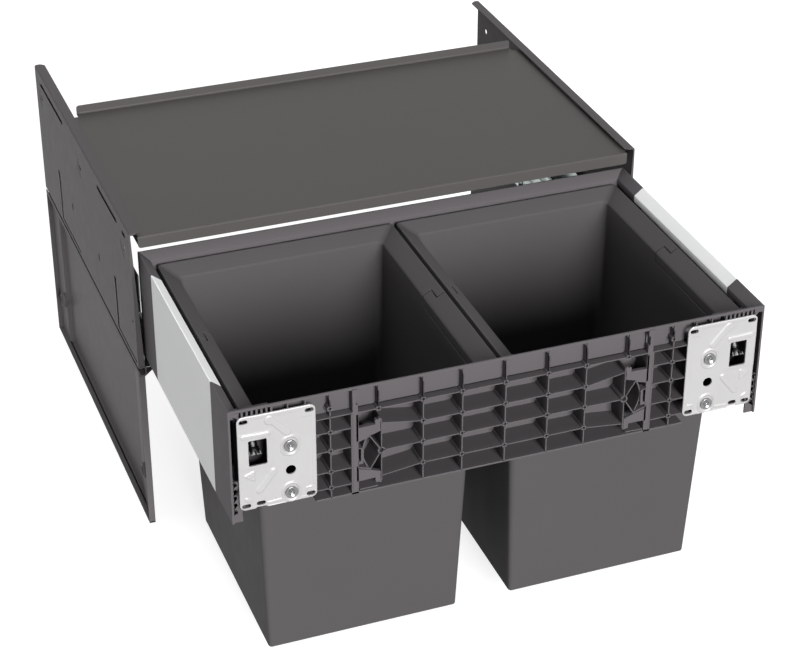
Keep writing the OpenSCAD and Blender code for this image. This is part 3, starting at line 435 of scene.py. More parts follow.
LAID = (math.pi / 2, 0, 0)


@cache
def ring_tree():
    """Tubes that stand on points, their axes along Y."""
    tree = Tree("rings", Outer=3.0, Bore=1.5, Depth=25.0, Steps=20, Material=None)
    outer, bore, depth, steps = tree.values("Outer", "Bore", "Depth", "Steps")
    path = tree.node("GeometryNodeCurvePrimitiveCircle", Resolution=steps,
                     Radius=tree.times(tree.math("ADD", outer, bore), 0.5))
    tube = tree.swept(path, tree.math("SUBTRACT", outer, bore), depth)
    laid = tree.moved(tube, Rotation=LAID, Translation=tree.vector(y=tree.times(depth, 0.5)))
    return tree.finish(tree.on_points(laid))


@cache
def rib_tree():
    """Straight ribs along edges drawn flat, X across and Y up, then stood up with their depth along Y."""
    tree = Tree("ribs", Thickness=1.6, Depth=25.0, Front=0.0, Material=None)
    lines, thick, depth, front = tree.values("Geometry", "Thickness", "Depth", "Front")
    path = tree.node("GeometryNodeMeshToCurve", Mesh=lines)
    middle = tree.math("ADD", front, tree.times(depth, 0.5))
    bars = tree.swept(path, thick, depth, Fill_Caps=True)
    return tree.finish(tree.moved(bars, Rotation=LAID, Translation=tree.vector(y=middle)))


@cache
def screw_tree():
    """Flat-headed screws with dished hex sockets on points, heads towards the front."""
    tree = Tree("screws", Head=6.2, Height=1.6, Socket=2.8, Shank=2.0, Length=16.0, Material=None)
    head, height, socket, shank, length = tree.values("Head", "Height", "Socket", "Shank", "Length")

    def raised(piece, share):
        return tree.moved(piece, Translation=tree.vector(z=tree.times(height, share)))

    dish = tree.node("GeometryNodeMeshCone", {"fill_type": "NGON"}, Vertices=48,
                     Radius_Top=tree.times(head, 0.75), Radius_Bottom=tree.times(head, 0.45),
                     Depth=tree.times(height, 0.6))
    cap = tree.cut(tree.drum(48, head, height), raised(tree.drum(6, socket, height), 0.15), dish.outputs[0])
    dome = tree.node("GeometryNodeMeshUVSphere", Segments=20, Rings=10, Radius=tree.times(socket, 0.48))
    below = tree.times(tree.math("ADD", length, tree.times(height, 0.8)), -0.5)
    stem = tree.moved(tree.drum(24, shank, length), Translation=tree.vector(z=below))
    screw = tree.node("GeometryNodeJoinGeometry")
    for piece in (cap, stem, raised(dome.outputs[0], -0.4)):
        tree.tree.links.new(piece, screw.inputs[0])
    return tree.finish(tree.on_points(tree.moved(screw.outputs[0], Rotation=LAID)))


@cache
def pierced_tree():
    """A thin strip with a square hole at each point."""
    tree = Tree("pierced", Width=10.0, Height=24.0, Thickness=1.8, Hole=2.6,
                X=0.0, Y=0.0, Z=0.0, Material=None)
    width, height, thick, hole = tree.values("Width", "Height", "Thickness", "Hole")
    strip = tree.node("GeometryNodeMeshCube", Size=tree.vector(width, thick, height))
    placed = tree.moved(strip.outputs[0], Translation=tree.vector(*tree.values("X", "Y", "Z")))
    peg = tree.node("GeometryNodeMeshCube", Size=tree.vector(hole, tree.times(thick, 3.0), hole))
    pegs = tree.node("GeometryNodeRealizeInstances", Geometry=tree.on_points(peg.outputs[0]))
    return tree.finish(tree.cut(placed, pegs.outputs[0]))


def ribs(edges, thickness, depth):
    """Ribs of the drawer's front, between pairs of points given across and up."""
    points = [(x, z, 0) for edge in edges for x, z in edge]
    pairs = [(2 * i, 2 * i + 1) for i in range(len(edges))]
    return run_tree(rib_tree(), points, pairs, FRAME_SLOT, Thickness=thickness, Depth=depth, Front=FRONT_Y)


def rings(places, outer, bore, depth):
    """Rings of the drawer's front, round places given across and up."""
    points = [(x, FRONT_Y, z) for x, z in places]
    return run_tree(ring_tree(), points, [], FRAME_SLOT, Outer=outer, Bore=bore, Depth=depth)


# Materials

def moulded(name, colour, rough=0.5, grain=0.00002):
    """Moulded plastic with a fine spark-eroded grain and faint colour drift."""
    shader = Shader(name)
    return shader.coat(Base_Color=shader.drift(shader.noise(9.0, 3.0), colour, 0.96, 1.04),
                       Roughness=rough - 0.06 + 0.12 * shader.noise(40.0),
                       Normal=shader.bump(shader.noise(1400.0), grain), Specular_IOR_Level=0.015)


def coated(name, colour, rough=0.42, grain=0.00003, shine=0.02):
    """Powder coat on steel, with a fine orange peel."""
    shader = Shader(name)
    return shader.coat(Base_Color=shader.drift(shader.noise(6.0, 3.0), colour, 0.97, 1.03),
                       Roughness=rough - 0.05 + 0.1 * shader.noise(60.0),
                       Normal=shader.bump(shader.noise(900.0, 3.0), grain), Specular_IOR_Level=shine)


def plated(name, colour, rough=0.35, metal=1.0):
    """Zinc plating with faint spangle and drawn marks."""
    shader = Shader(name)
    spangle = shader.num(shader.node("ShaderNodeTexVoronoi", Vector=shader.place(), Scale=260.0), "Distance")
    marks = shader.noise(35.0, 4.0, 0.6)
    return shader.coat(Base_Color=shader.drift(marks, colour, 0.94, 1.03), Metallic=metal,
                       Roughness=rough - 0.08 + 0.16 * marks, Normal=shader.bump(spangle, 0.00002, 0.25))


# Each slot's kind of finish, its colour and the values that differ from the usual ones
FINISHES = {
    "coated_steel": (coated, "steel"),
    # The side plates' coat in a lighter tone for the guards: painted light for their angled, better-lit
    # panels.
    "guard_steel": (coated, "guard"),
    "lid_steel": (coated, "lid", 0.34, 0.00002, 0.05),
    "zinc_steel": (plated, "zinc", 0.42, 0.15),
    "runner_steel": (plated, "runner", 0.3),
    "screw_steel": (plated, "screw", 0.25),
    "frame_plastic": (moulded, "frame", 0.45),
    "wall_plastic": (moulded, "wall"),
    "cover_plastic": (moulded, "cover", 0.4, 0.00001),
    "bin_plastic": (moulded, "bins", 0.5, 0.000015),
    "black_plastic": (moulded, "black"),
    "cage_plastic": (moulded, "cage"),
}


@cache
def finish_of(slot):
    """The material of one slot, made once."""
    maker, colour, *values = FINISHES[slot]
    return maker(slot, getattr(bpy.context.scene.bin_unit_colours, colour), *values)


# Bins and bail handles

BIN_X, BIN_Y = 129.35, -152.1
OPEN_X, OPEN_Y, OPEN_Z = 109.15, 128.5, 311.9
RIM_X, RIM_Y, RIM_Z = 127.45, 146.1, 321.9
BIN_FLOOR, BIN_CORNER, RIM_CORNER, RIM_ROUND = 16.9, 6.0, 4.0, 1.3
DRAFT_X, DRAFT_Y = 11.1, 14.5
SKIRT_Z, FOOT_Z, HAND_Z = 306.2, 308.5, 300.9
SEAM_X, SEAM_IN_Y, SEAM_OUT_Y, SEAM_GAP = 117.75, 7.7, -8.3, 1.1
LEDGE_Z, LUG_TOP = 300.35, 315.4


def level(hx, hy, r, z, steps):
    """One ring of a bin: a rounded rectangle at a height."""
    return [(x, y, z) for x, y in rounded(hx, hy, max(r, 0.4), steps)]


def body_ring(z, out, steps, corner=BIN_CORNER):
    """A ring of the tapered body, set out from the inside of its wall."""
    t = (z - BIN_FLOOR) / (OPEN_Z - BIN_FLOOR)
    return level(OPEN_X - DRAFT_X * (1 - t) + out, OPEN_Y - DRAFT_Y * (1 - t) + out, corner + out, z, steps)


def mouth_ring(z, out, steps, corner=None):
    """A ring set out from the edge of the opening."""
    return level(OPEN_X + out, OPEN_Y + out, BIN_CORNER + out if corner is None else corner, z, steps)


def rim_ring(z, back, steps, corner=None):
    """A ring set back from the rim's outer edge."""
    return level(RIM_X - back, RIM_Y - back, RIM_CORNER - back if corner is None else corner, z, steps)


def rim_top(steps):
    """The rim's outer edge, land and slope down to the opening, from outside in."""
    edge = arc(-RIM_ROUND, -RIM_ROUND, RIM_ROUND, 0, 90, 3)
    rings = [rim_ring(RIM_Z + z, -x, steps) for x, z in edge]
    for back, drop in ((1.6, 0.05), (2.3, 0.4), (9.5, 4.75), (16.4, 9.0)):
        rings.append(rim_ring(RIM_Z - drop, back, steps, RIM_CORNER + (back - 1.0) / 8.3))
    rings += [mouth_ring(OPEN_Z - drop, out, steps, BIN_CORNER) for out, drop in ((0.75, 0.35), (0.15, 0.95))]
    return rings


def hand_region(gap):
    """The part of the rim that is the handle's, its edges moved out by a gap."""
    mid, side, front = SEAM_X + gap, RIM_X + 2, -RIM_Y - 2
    outer, inner = SEAM_OUT_Y + gap, SEAM_IN_Y + gap
    outline = [(-side, front), (side, front), (side, outer), (mid, outer), (mid, inner), (-mid, inner),
               (-mid, outer), (-side, outer)]
    return Solid().prism(outline, "z", HAND_Z - gap / 2, RIM_Z + 2)


def bin_solid(steps):
    rings = [[(x, y, BIN_FLOOR + 1.6) for x, y, _ in body_ring(BIN_FLOOR, -14.0, steps)],
             body_ring(BIN_FLOOR, -12.0, steps)]
    outside = ((0.0, 0.9, 1.6), (0.25, 1.5, 1.9), (0.8, 1.9, 2.2), (1.5, 2.0, 2.3), (60.0, 2.0, 3.0),
               (150.0, 2.0, 4.2), (240.0, 2.0, 5.4), (281.5, 2.0, BIN_CORNER))
    rings += [body_ring(BIN_FLOOR + rise, out, steps, corner) for rise, out, corner in outside]
    rings.append(mouth_ring(OPEN_Z - 2.2, 2.6, steps, BIN_CORNER + 2))
    rings += [rim_ring(z, back, steps) for z, back in ((RIM_Z - 3.2, 2.2), (SKIRT_Z, 2.0), (SKIRT_Z, 0.0))]
    rings += rim_top(steps)
    rings += [body_ring(z, 0.0, steps) for z in (LEDGE_Z, 240.0, 150.0, 60.0, BIN_FLOOR + 6.0)]
    rings += [body_ring(BIN_FLOOR + rise, out, steps)
              for rise, out in ((3.4, -0.8), (2.2, -2.6), (2.0, -5.0))]
    shell = Solid().loft(rings).carved(hand_region(SEAM_GAP))
    section = ((298.75, -0.35), (298.75, 3.7), (SKIRT_Z, 3.7), (SKIRT_Z, 17.6), (308.2, 17.6), (308.2, 2.1),
               (LEDGE_Z, 2.1), (LEDGE_Z, -0.35))
    ledge = Solid().loft([mouth_ring(z, out, steps) for z, out in section], closed=True)
    front = Solid().block((-RIM_X - 2, -RIM_Y - 2, 290), (RIM_X + 2, 13.8, 330))
    return shell.absorb(ledge.carved(front, "INTERSECT").to_mesh())


def handle_solid(steps):
    rings = [mouth_ring(z, 1.6, steps) for z in (HAND_Z, OPEN_Z - 2.2)]
    rings += [rim_ring(z, back, steps) for z, back in ((RIM_Z - 3.2, 2.2), (FOOT_Z, 1.8), (FOOT_Z, 0.0))]
    rings += rim_top(steps) + [mouth_ring(z, 0.0, steps) for z in (OPEN_Z - 2.4, HAND_Z)]
    handle = Solid().loft(rings, closed=True).carved(hand_region(0), "INTERSECT")
    front = SEAM_OUT_Y - 7
    lug = [(front, 309.6), (0.5, 309.4), (SEAM_IN_Y, 311.5), (SEAM_IN_Y, LUG_TOP), (front, LUG_TOP)]
    for j in (-1, 1):
        handle.prism(lug, "x", *sorted((j * (SEAM_X - 1.6), j * SEAM_X)))
        pin = sorted((j * (SEAM_X - 1), j * (SEAM_X + 5.3)))
        handle.turned([(1.6, x) for x in pin], "x", (5.2, 314.7), 20)
    return handle


# Sheet steel of the cabinet's sides

SIDE_X, PLATE_DEPTH, GUARD_TOP = 282.0, 445.0, 188.5


def sheared(tool, outline):
    """Adds a cut whose walls lean down and back, so that its opening looks dark from the front."""
    tool.loft([[(x, y + 2.8 * (SIDE_X - x), z - 1.7 * (SIDE_X - x)) for y, z in outline]
               for x in (282.6, 279.9)])


def side_plate_solid():
    """Folded side plate with its pressed slots and dishes."""
    outline = [(270.6, 357.0), (270.6, 358.5)] + arc(279.6, 356.1, 2.4, 90, 0, 5)
    outline += [(SIDE_X, 199.0), (281.4, 198.4), (275.0, 198.4), (275.0, 190.2), (280.1, 190.2),
                (280.1, 193.0), (281.8, 195.6), (SIDE_X, 195.4), (SIDE_X, 190.0), (280.5, GUARD_TOP),
                (261.0, GUARD_TOP), (261.0, 190.0), (273.5, 190.0), (273.5, 199.8)]
    outline += arc(279.6, 200.7, 0.9, -90, 0, 3) + arc(279.6, 356.1, 0.9, 0, 90, 3)
    plate = Solid().prism(outline, "y", 0, PLATE_DEPTH)
    tool, sunk = Solid(), Solid()
    for y, way in ((0, 1), (PLATE_DEPTH, -1)):
        clip = [(269, y - way), (275.2, y - way), (275.2, y), (270.4, y + 4.3 * way), (269, y + 4.3 * way)]
        tool.prism(clip, "z", 355, 360)
    tool.prism([(260, -1), (276, -1), (276, 0.0), (275, 0.0), (260.9, 14.0), (260, 14.0)], "z", 187, 191.5)
    dish = [(11.0, 282.3), (11.0, 281.98), (9.6, 281.6), (3.2, 281.55), (3.2, 279.5)]
    for y in (30, 224, 418):
        tool.turned(dish, "x", (y, 327.5), 40)
    slots = ((19, 32), (54, 140), (303.5, 422))
    for lo, hi in slots:
        sheared(sunk, slot_outline((lo + hi) / 2, 345.6, hi - lo, 2.3))
    for lo, hi in ((258, 349.6), (4, 83.6)):
        sheared(sunk, [(lo, 203.0), (hi, 203.0), (hi, 252.0), (hi + 3.4, 265.5), (hi - 4.6, 265.5),
                       (hi - 5.4, 250.0), (hi - 5.0, 205.4), (lo, 205.4)])
    for y in (156, 282):
        sheared(sunk, [(y, 245.5), (y + 3.4, 247.0), (y + 3.4, 252.4), (y, 256.5)])
    sheared(sunk, [(9, 249), (12, 249), (12, 252), (9, 252)])
    plate = plate.carved(tool).carved(sunk)
    backing = [(280.6, 333.6), (278.9, 334.8), (278.9, 350.2), (280.6, 351.2), (280.6, 350.4), (279.5, 349.8),
               (279.5, 335.2), (280.6, 334.4)]
    for lo, hi in slots:
        plate.prism(backing, "y", lo - 2, hi + 9)
    for lo, hi in ((256, 366), (2, 100)):
        plate.block((278.2, lo, 201.0), (278.8, hi, 268.0))
        plate.block((278.2, lo, 201.0), (280.6, hi, 201.6))
    plate.block((271.8, 286, 341.5), (280.8, 300, 343.0))
    flange = [[(280.6, 0, z), (280.6, 1.5, z), (x, 1.5, z), (x, 0, z)]
              for x, z in ((280.4, 350.0), (275.0, 200.4))]
    return plate.loft(flange)


def lower_guard_solid():
    """Pressed guard with a sunk panel between two margins, and two eyelets."""
    margin, panel, t, end = 277.0, 272.2, 1.5, PLATE_DEPTH
    outer = [(SIDE_X, 0.0), (SIDE_X, t), (margin, t), (margin, 29.0), (margin - 0.35, 31.5),
             (panel + 0.3, 60.5), (panel, 63.0), (panel, 399.5), (panel + 0.7, 400.8),
             (margin - 0.7, 403.2), (margin, 404.6), (margin, end - t), (SIDE_X, end - t), (SIDE_X, end)]
    inner = [(margin - t, end), (margin - t, 404.9), (panel - t, 401.0), (panel - t, 62.6),
             (margin - t, 30.0), (margin - t, 0.0)]
    guard = Solid().prism(outer + inner, "z", 0, GUARD_TOP)
    eyelets, bore = (18, 410), 2.5
    tool = Solid()
    for y in eyelets:
        tool.turned([(bore, 270), (bore, 290)], "x", (y, 58), 24)
    guard = guard.carved(tool)
    guard.block((margin - t, 0.0, 0.0), (SIDE_X, end, t))
    guard.block((panel - t, 30.0, 0.0), (margin, end, t))
    collar = [(bore, 276.0), (9.0, 276.0), (9.0, 279.4), (8.2, 281.2), (6.9, SIDE_X), (5.9, 281.9),
              (4.9, 280.7), (4.4, 279.2), (bore, 279.2)]
    for y in eyelets:
        guard.turned(collar, "x", (y, 58), 40)
    return guard


def shelf_lid_solid():
    """Shelf with a front lip, a raised rear edge, side flanges and tabs into the side plates."""
    half, depth, top, t, r = 273.0, 307.5, 353.4, 1.2, 1.8
    lip, side, up, rear_half = top - 12.9, top - 9.6, top + 9.7, 261.0
    sheet = [(0.0, lip)] + arc(r, top - r, r, 180, 90, 5)
    sheet += [(depth - 0.6, top), (depth, top), (depth, top - t), (t + 0.6, top - t)]
    sheet += arc(t + 0.6, top - t - 0.6, 0.6, 90, 180, 3)[1:] + [(t, lip)]
    tool = Solid()
    for j in (-1, 1):
        lo, hi = sorted((j * (half - 9), j * (half + 1)))
        tool.block((lo, depth - 9, top - 5), (hi, depth + 1, top + 2))
        corner = [(half + 1, lip - 1), (half - 3, lip - 1)] + arc(half - 3, lip + 3, 3, -90, 0)
        corner.append((half + 1, lip + 3))
        tool.prism([(j * x, z) for x, z in corner], "y", -1, t + 0.5)
    lid = Solid().prism(sheet, "x", -half, half).carved(tool)
    round_end = arc(rear_half, up - 3, 3, 90, 0)
    edge = [(-264, top - t)] + [(-x, z) for x, z in round_end[::-1]] + round_end + [(264, top - t)]
    lid.prism(edge, "y", depth - t, depth)
    bend, foot = 2.0, top - 0.3
    fillet = arc(depth - t - bend, top + bend, bend, -90, 0, 5)
    section = [(depth - t + 0.2, foot), (depth - t + 0.2, top + bend)] + fillet[::-1]
    lid.prism(section + [(depth - t - bend, foot)], "x", -rear_half, rear_half)
    for j in (-1, 1):
        lo, hi = sorted((j * (half - t), j * half))
        lid.block((lo, t, side), (hi, depth - 9, top - 0.05))
        lo, hi = sorted((j * (half - t), j * 278.8))
        for y0, y1 in ((60, 134), (21.5, 29.5)):
            lid.block((lo, y0, 344.4), (hi, y1, 346.8))
    return lid


# Plastic frame of the drawer

FRAME_SLOT = "frame_plastic"
FRONT_Y, BACK_Y, REAR_Y = -311.5, -285.0, 8.5
FRAME_TOP, BEVEL_Z, LEAF_Z, DECK_Z, BEAM_Z, WALL_FOOT = 332.5, 325.0, 318.0, 305.9, 214.0, 209.0
FRAME_HALF, INNER_HALF, SIDE_IN, BAND = 272.5, 261.7, 261.2, 153.45
LATCH_X, LATCH_Z, CATCH_X = 125.3, 257.3, 127.9
COLUMNS, ROWS = (0.0, 43.93, 83.55), (233.6, 257.5, 280.7, 304.5)
OUTER_COLUMN, OUTER_ROWS = 175.4, (226.35, 244.55, 267.9, 288.8, 314.6)
PLATE_X, PLATE_Z = 227.4, 273.96
CLAMP_U, CLAMP_V = -12.4, (11.3, -40.5)
CLAMP_X, CLAMP_Z = PLATE_X + CLAMP_U, [PLATE_Z + v for v in CLAMP_V]
ADJUSTER_X, ADJUSTER_Y, ADJUSTER_Z, ADJUSTER_TILT = PLATE_X + 20.4, -302.8, PLATE_Z + 10.7, -38
SCREW_FACE = -313.6
LATCH_RING, LATCH_BORE, CLAMP_RING, CLAMP_BORE = 3.8, 2.3, 6.2, 2.2


def lip_outline(leaf):
    """Lip, slope and inner leaf of a frame member, depth and height, its outer face at 0."""
    top, bevel = FRAME_TOP, BEVEL_Z
    return [(0.0, top - 2.4)] + arc(0.8, top - 0.8, 0.8, 180, 90, 3) + [
        (1.9, top), (2.4, top - 0.25), (10.1, bevel + 0.55), (10.65, bevel - 0.1), (10.8, bevel - 0.9),
        (10.8, leaf), (8.8, leaf), (8.8, bevel - 1.0), (2.0, top - 2.4)]


def side_outline(t):
    """Hollow outline of a drawer side, across and up, for the right side."""
    h, inner, top, bevel = FRAME_HALF, INNER_HALF, FRAME_TOP, BEVEL_Z
    return [(h, WALL_FOOT)] + arc(h - 0.4, top - 0.4, 0.4, 0, 90, 3) + [
        (h - 1.2, top), (h - 1.8, top - 0.3), (inner + 0.7, bevel + 0.55), (inner + 0.15, bevel - 0.1),
        (inner, bevel - 0.9), (inner, LEAF_Z), (inner + t, LEAF_Z), (inner + t, bevel - t / 2),
        (h - t, top - t * 1.6), (h - t, WALL_FOOT)]


def mirror_edges(edges):
    return edges + [[(-x, z) for x, z in edge] for edge in edges]


def crossed(a, b, places, gap=2.1):
    """A straight rib cut short of the rings that stand on it."""
    (x0, z0), (x1, z1) = a, b
    length = math.hypot(x1 - x0, z1 - z0)
    dx, dz = (x1 - x0) / length, (z1 - z0) / length
    stops = [0.0]
    for x, z in sorted(places, key=lambda p: (p[0] - x0) * dx + (p[1] - z0) * dz):
        along = (x - x0) * dx + (z - z0) * dz
        if abs((x - x0) * dz - (z - z0) * dx) < 1.0 and -gap < along < length + gap:
            stops += [along - gap, along + gap]
    stops.append(length)
    pairs = [(stops[i], stops[i + 1]) for i in range(0, len(stops), 2)]
    return [[(x0 + s * dx, z0 + s * dz), (x0 + e * dx, z0 + e * dz)] for s, e in pairs if e - s > 0.3]


def rib_sizes(sizes):
    """Rib thickness, ring radius and bore, and the depths of deep and shallow cells, in millimetres."""
    return [getattr(sizes, key) / MM for key in ("rib", "ring", "ring_bore", "beam_depth", "top_row_depth")]


def front_beam_solid(sizes):
    rib, outer, bore, depth, shallow = rib_sizes(sizes)
    latch = (LATCH_X, LATCH_Z)
    beam = Solid()
    beam.block((-BAND, BACK_Y - 1.5, BEAM_Z), (BAND, BACK_Y, DECK_Z))
    beam.block((-BAND, FRONT_Y + 8.5, DECK_Z - 1.5), (BAND, BACK_Y, DECK_Z))
    beam.block((-BAND, FRONT_Y + 8.5, DECK_Z - 1.5), (BAND, FRONT_Y + 10.7, BEVEL_Z))
    beam.prism([(FRONT_Y + y, z) for y, z in lip_outline(LEAF_Z)], "x", -BAND, BAND)
    beam.block((-BAND, FRONT_Y, BEAM_Z), (BAND, BACK_Y, BEAM_Z + 1.8))
    side = [(0, BEAM_Z), (8.5, BEAM_Z), (8.5, 324.8), (2.0, 330.6), (0, 330.6)]
    for j in (-1, 1):
        lo, hi = sorted((j * 148.2, j * BAND))
        band = Solid().prism([(FRONT_Y + y, z) for y, z in side], "x", lo, hi)
        band.block((lo, FRONT_Y + 8.6, BEAM_Z), (hi, BACK_Y, DECK_Z))
        lo, hi = sorted((j * 148.0, j * 150.1))
        slot = Solid().block((lo, FRONT_Y - 1, 313.3), (hi, FRONT_Y + 6, 323.5))
        beam.absorb(band.carved(slot).to_mesh())
        latch_parts(beam, j)
    deep, thin = [], []
    for x in COLUMNS[1:]:
        deep += crossed((x, BEAM_Z + 1), (x, DECK_Z - 1), [(x, z) for z in ROWS])
    for z in ROWS[:3]:
        deep += crossed((0.0, z), (COLUMNS[2], z), [(x, z) for x in COLUMNS])
    centre = crossed((0.0, BEAM_Z + 1), (0.0, DECK_Z - 1), [(0.0, z) for z in ROWS])
    thin += crossed((LATCH_X, 222.0), (LATCH_X, 293.2), [latch], 3.0)
    for z, rise in ((ROWS[0], -5.0), (ROWS[1], -0.3), (ROWS[2], 7.2)):
        thin += crossed((COLUMNS[2], z), (LATCH_X, z + rise), [(COLUMNS[2], z), latch], 2.4)
    for away, up in ((12.0, 19.2), (11.6, -19.2)):
        thin += crossed(latch, (LATCH_X + away, LATCH_Z + up), [latch], 3.0)
    top = crossed((0.0, ROWS[3]), (148.4, ROWS[3]), [(x, ROWS[3]) for x in COLUMNS + (CATCH_X,)])
    beam.absorb(ribs(mirror_edges(deep) + centre, rib, depth))
    beam.absorb(ribs(mirror_edges(thin), rib * 0.85, depth))
    beam.absorb(ribs(mirror_edges(top), rib, shallow + 1.0))
    stems = [x for c in COLUMNS[1:] + (CATCH_X,) for x in (c, -c)] + [0.0]
    lip_ribs(beam, stems, ROWS[3] + 2.0, rib, shallow)
    columns = COLUMNS + tuple(-x for x in COLUMNS[1:])
    beam.absorb(rings([(x, z) for x in columns for z in ROWS[:3]], outer, bore, depth))
    beam.absorb(rings([(x, ROWS[3]) for x in columns + (-CATCH_X, CATCH_X)], outer, bore, shallow + 1.0))
    return beam.absorb(rings([(-LATCH_X, LATCH_Z), latch], LATCH_RING, LATCH_BORE, depth))


def lip_ribs(solid, places, foot, thickness, depth):
    """Upright ribs under the upper lip, deep below its slope and shallow up to its nose."""
    for top, reach in ((324.4, depth + 1.0), (330.3, 2.2)):
        solid.absorb(ribs([[(x, foot), (x, top)] for x in places], thickness, reach))


# Flat plates, catch box and webs beside each band: outline across and up, near and far depth from the face
LATCH_PARTS = (
    (((125.0, 279.8), (150.0, 272.4), (150.0, 302.2), (148.0, 302.2), (147.8, 287.2), (131.3, 287.6),
      (131.7, 291.9), (130.4, 293.5), (128.7, 292.1), (127.8, 293.9), (124.9, 293.2), (126.2, 290.6),
      (126.5, 282.1)), 0.0, 4.0),
    (((150.0, 246.0), (147.8, 241.1), (136.7, 237.9), (124.7, 233.2), (126.4, 232.5), (126.3, 224.0),
      (124.7, 222.7), (125.6, 221.4), (129.1, 222.2), (131.2, 222.4), (131.6, 227.8), (150.0, 227.4)),
     0.0, 4.0),
    (((148.6, 265.1), (143.8, 264.0), (142.9, 262.8), (143.4, 246.5), (148.6, 246.5), (148.6, 249.0),
      (145.7, 249.8), (145.5, 263.4), (148.6, 264.0)), 0.0, 9.0),
    (((137.6, 276.8), (150.0, 272.9), (150.0, 270.6), (136.6, 274.6)), 0.6, 20.0),
    (((137.4, 238.4), (136.3, 239.6), (148.6, 243.4), (148.6, 242.0)), 0.6, 20.0),
    (((129.1, 217.3), (147.2, 216.8), (147.2, 218.0), (129.1, 218.5)), 0.4, 16.0),
)


def latch_parts(beam, j):
    """What stands beside one band, with a dished web behind it."""
    dish = [(137.4 + 5.4 * math.sin(math.pi * k / 6), 239.2 + 36.4 * k / 6) for k in range(7)]
    web = (dish + [(x + 1.3, z) for x, z in reversed(dish)], 2.5, 24.0)
    for outline, near, far in LATCH_PARTS + (web,):
        beam.prism([(j * x, z) for x, z in outline], "y", FRONT_Y + near, FRONT_Y + far)


def front_corner_solid(sizes):
    """Corner piece, drawn for the right side."""
    rib, outer, bore, depth, shallow = rib_sizes(sizes)
    start, inner = BAND + 0.15, 203.5
    corner = Solid()
    for lo, hi in (((start, BACK_Y - 1.5, BEAM_Z), (SIDE_IN, BACK_Y, DECK_Z)),
                   ((start, FRONT_Y + 8.5, DECK_Z - 1.5), (INNER_HALF, BACK_Y, DECK_Z)),
                   ((start, FRONT_Y + 8.5, DECK_Z - 1.5), (229.6, FRONT_Y + 10.7, BEVEL_Z)),
                   ((228.0, FRONT_Y + 22.0, DECK_Z - 1.5), (INNER_HALF, BACK_Y - 3.0, 319.6)),
                   ((228.0, FRONT_Y + 8.9, 318.1), (INNER_HALF, FRONT_Y + 22.1, 319.6)),
                   ((261.9, FRONT_Y + 0.02, 326.4), (270.9, FRONT_Y + 8.0, 329.9))):
        corner.block(lo, hi)
    lip = Solid().prism([(FRONT_Y + y, z) for y, z in lip_outline(LEAF_Z)], "x", start, 271.6)
    side = Solid().prism(side_outline(2.0), "y", FRONT_Y + 0.05, -255.5)
    corner.absorb(lip.to_mesh()).absorb(side.to_mesh())
    for lo, hi in (((start, FRONT_Y, BEAM_Z), (190.6, BACK_Y, BEAM_Z + 1.8)),
                   ((190.0, FRONT_Y + 3.0, 223.0), (SIDE_IN, BACK_Y, 224.6)),
                   ((start, FRONT_Y, BEAM_Z), (start + 1.5, BACK_Y, DECK_Z)),
                   ((INNER_HALF, FRONT_Y + 1.8, WALL_FOOT), (FRAME_HALF - 0.2, FRONT_Y + 3.4, BEAM_Z + 1.2))):
        corner.block(lo, hi)
    places = [(OUTER_COLUMN, z) for z in OUTER_ROWS]
    edges = crossed((OUTER_COLUMN, BEAM_Z + 1), (OUTER_COLUMN, DECK_Z - 1), places)
    for z in OUTER_ROWS[:4]:
        edges += crossed((start + 1, z), (190.8, z), [(OUTER_COLUMN, z)])
    edges += [[(x, 224.0), (x, DECK_Z)] for x in (inner, 260.6)]
    edges += [[(inner, z), (CLAMP_X - 5.5, z)] for z in CLAMP_Z]
    edges.append([(CLAMP_X + 5.5, CLAMP_Z[1]), (260.3, CLAMP_Z[1])])
    corner.absorb(ribs(edges, rib, depth))
    top = crossed((start + 1, 304.9), (INNER_HALF, 304.9), [])
    top.append([(OUTER_COLUMN, 306.5), (OUTER_COLUMN, OUTER_ROWS[4] - 2.0)])
    corner.absorb(ribs(top, rib, shallow + 1.0))
    lip_ribs(corner, [OUTER_COLUMN], OUTER_ROWS[4] + 2.0, rib, shallow)
    lip_ribs(corner, [198.9, 215.7], 305.5, rib, shallow)
    lip_ribs(corner, [231.1 + 4.65 * i for i in range(7)], 319.0, 2.0, shallow)
    corner.absorb(rings(places[:4], outer, bore, depth))
    corner.absorb(rings(places[4:], outer, bore, shallow + 1.0))
    corner.absorb(rings([(CLAMP_X, z) for z in CLAMP_Z], CLAMP_RING, CLAMP_BORE, depth))
    mesh_y, mesh_height = FRONT_Y + 2.7, 40.4
    holes = [(267.7 + d, mesh_y, BEAM_Z + 5.9 + 7.7 * i + e)
             for i in range(5) for d, e in ((0.0, 0.0), (1.0, 1.7))]
    corner.absorb(run_tree(pierced_tree(), holes, [], FRAME_SLOT, Width=FRAME_HALF - INNER_HALF - 0.4,
                           Height=mesh_height, Thickness=1.7, Hole=2.9, X=(FRAME_HALF + INNER_HALF) / 2,
                           Y=mesh_y, Z=BEAM_Z + mesh_height / 2))
    return corner.block((ADJUSTER_X - 4.6, BACK_Y - 8.0, 297.9), (ADJUSTER_X + 4.6, BACK_Y, DECK_Z - 0.1))


def rear_frame_solid():
    half, top, face = 259.6, 330.5, REAR_Y - 2.0
    lip = [(REAR_Y - y, z) for y, z in lip_outline(DECK_Z - 1.5)]
    rear = Solid().prism(lip, "x", 1.0 - FRAME_HALF, FRAME_HALF - 1.0)
    rear.block((-half, face, WALL_FOOT), (half, REAR_Y, top))
    rear.block((-half, REAR_Y - 21.8, DECK_Z - 1.5), (half, REAR_Y - 8.8, DECK_Z))
    for j in (-1, 1):
        rear.prism([(j * x, z) for x, z in side_outline(2.0)], "y", -44.5, REAR_Y - 0.05)
        for inner, outer, foot in ((half, 271.0, 266.0), (270.5, FRAME_HALF, WALL_FOOT)):
            lo, hi = sorted((j * inner, j * outer))
            rear.block((lo, face, foot), (hi, REAR_Y, top))
    return rear


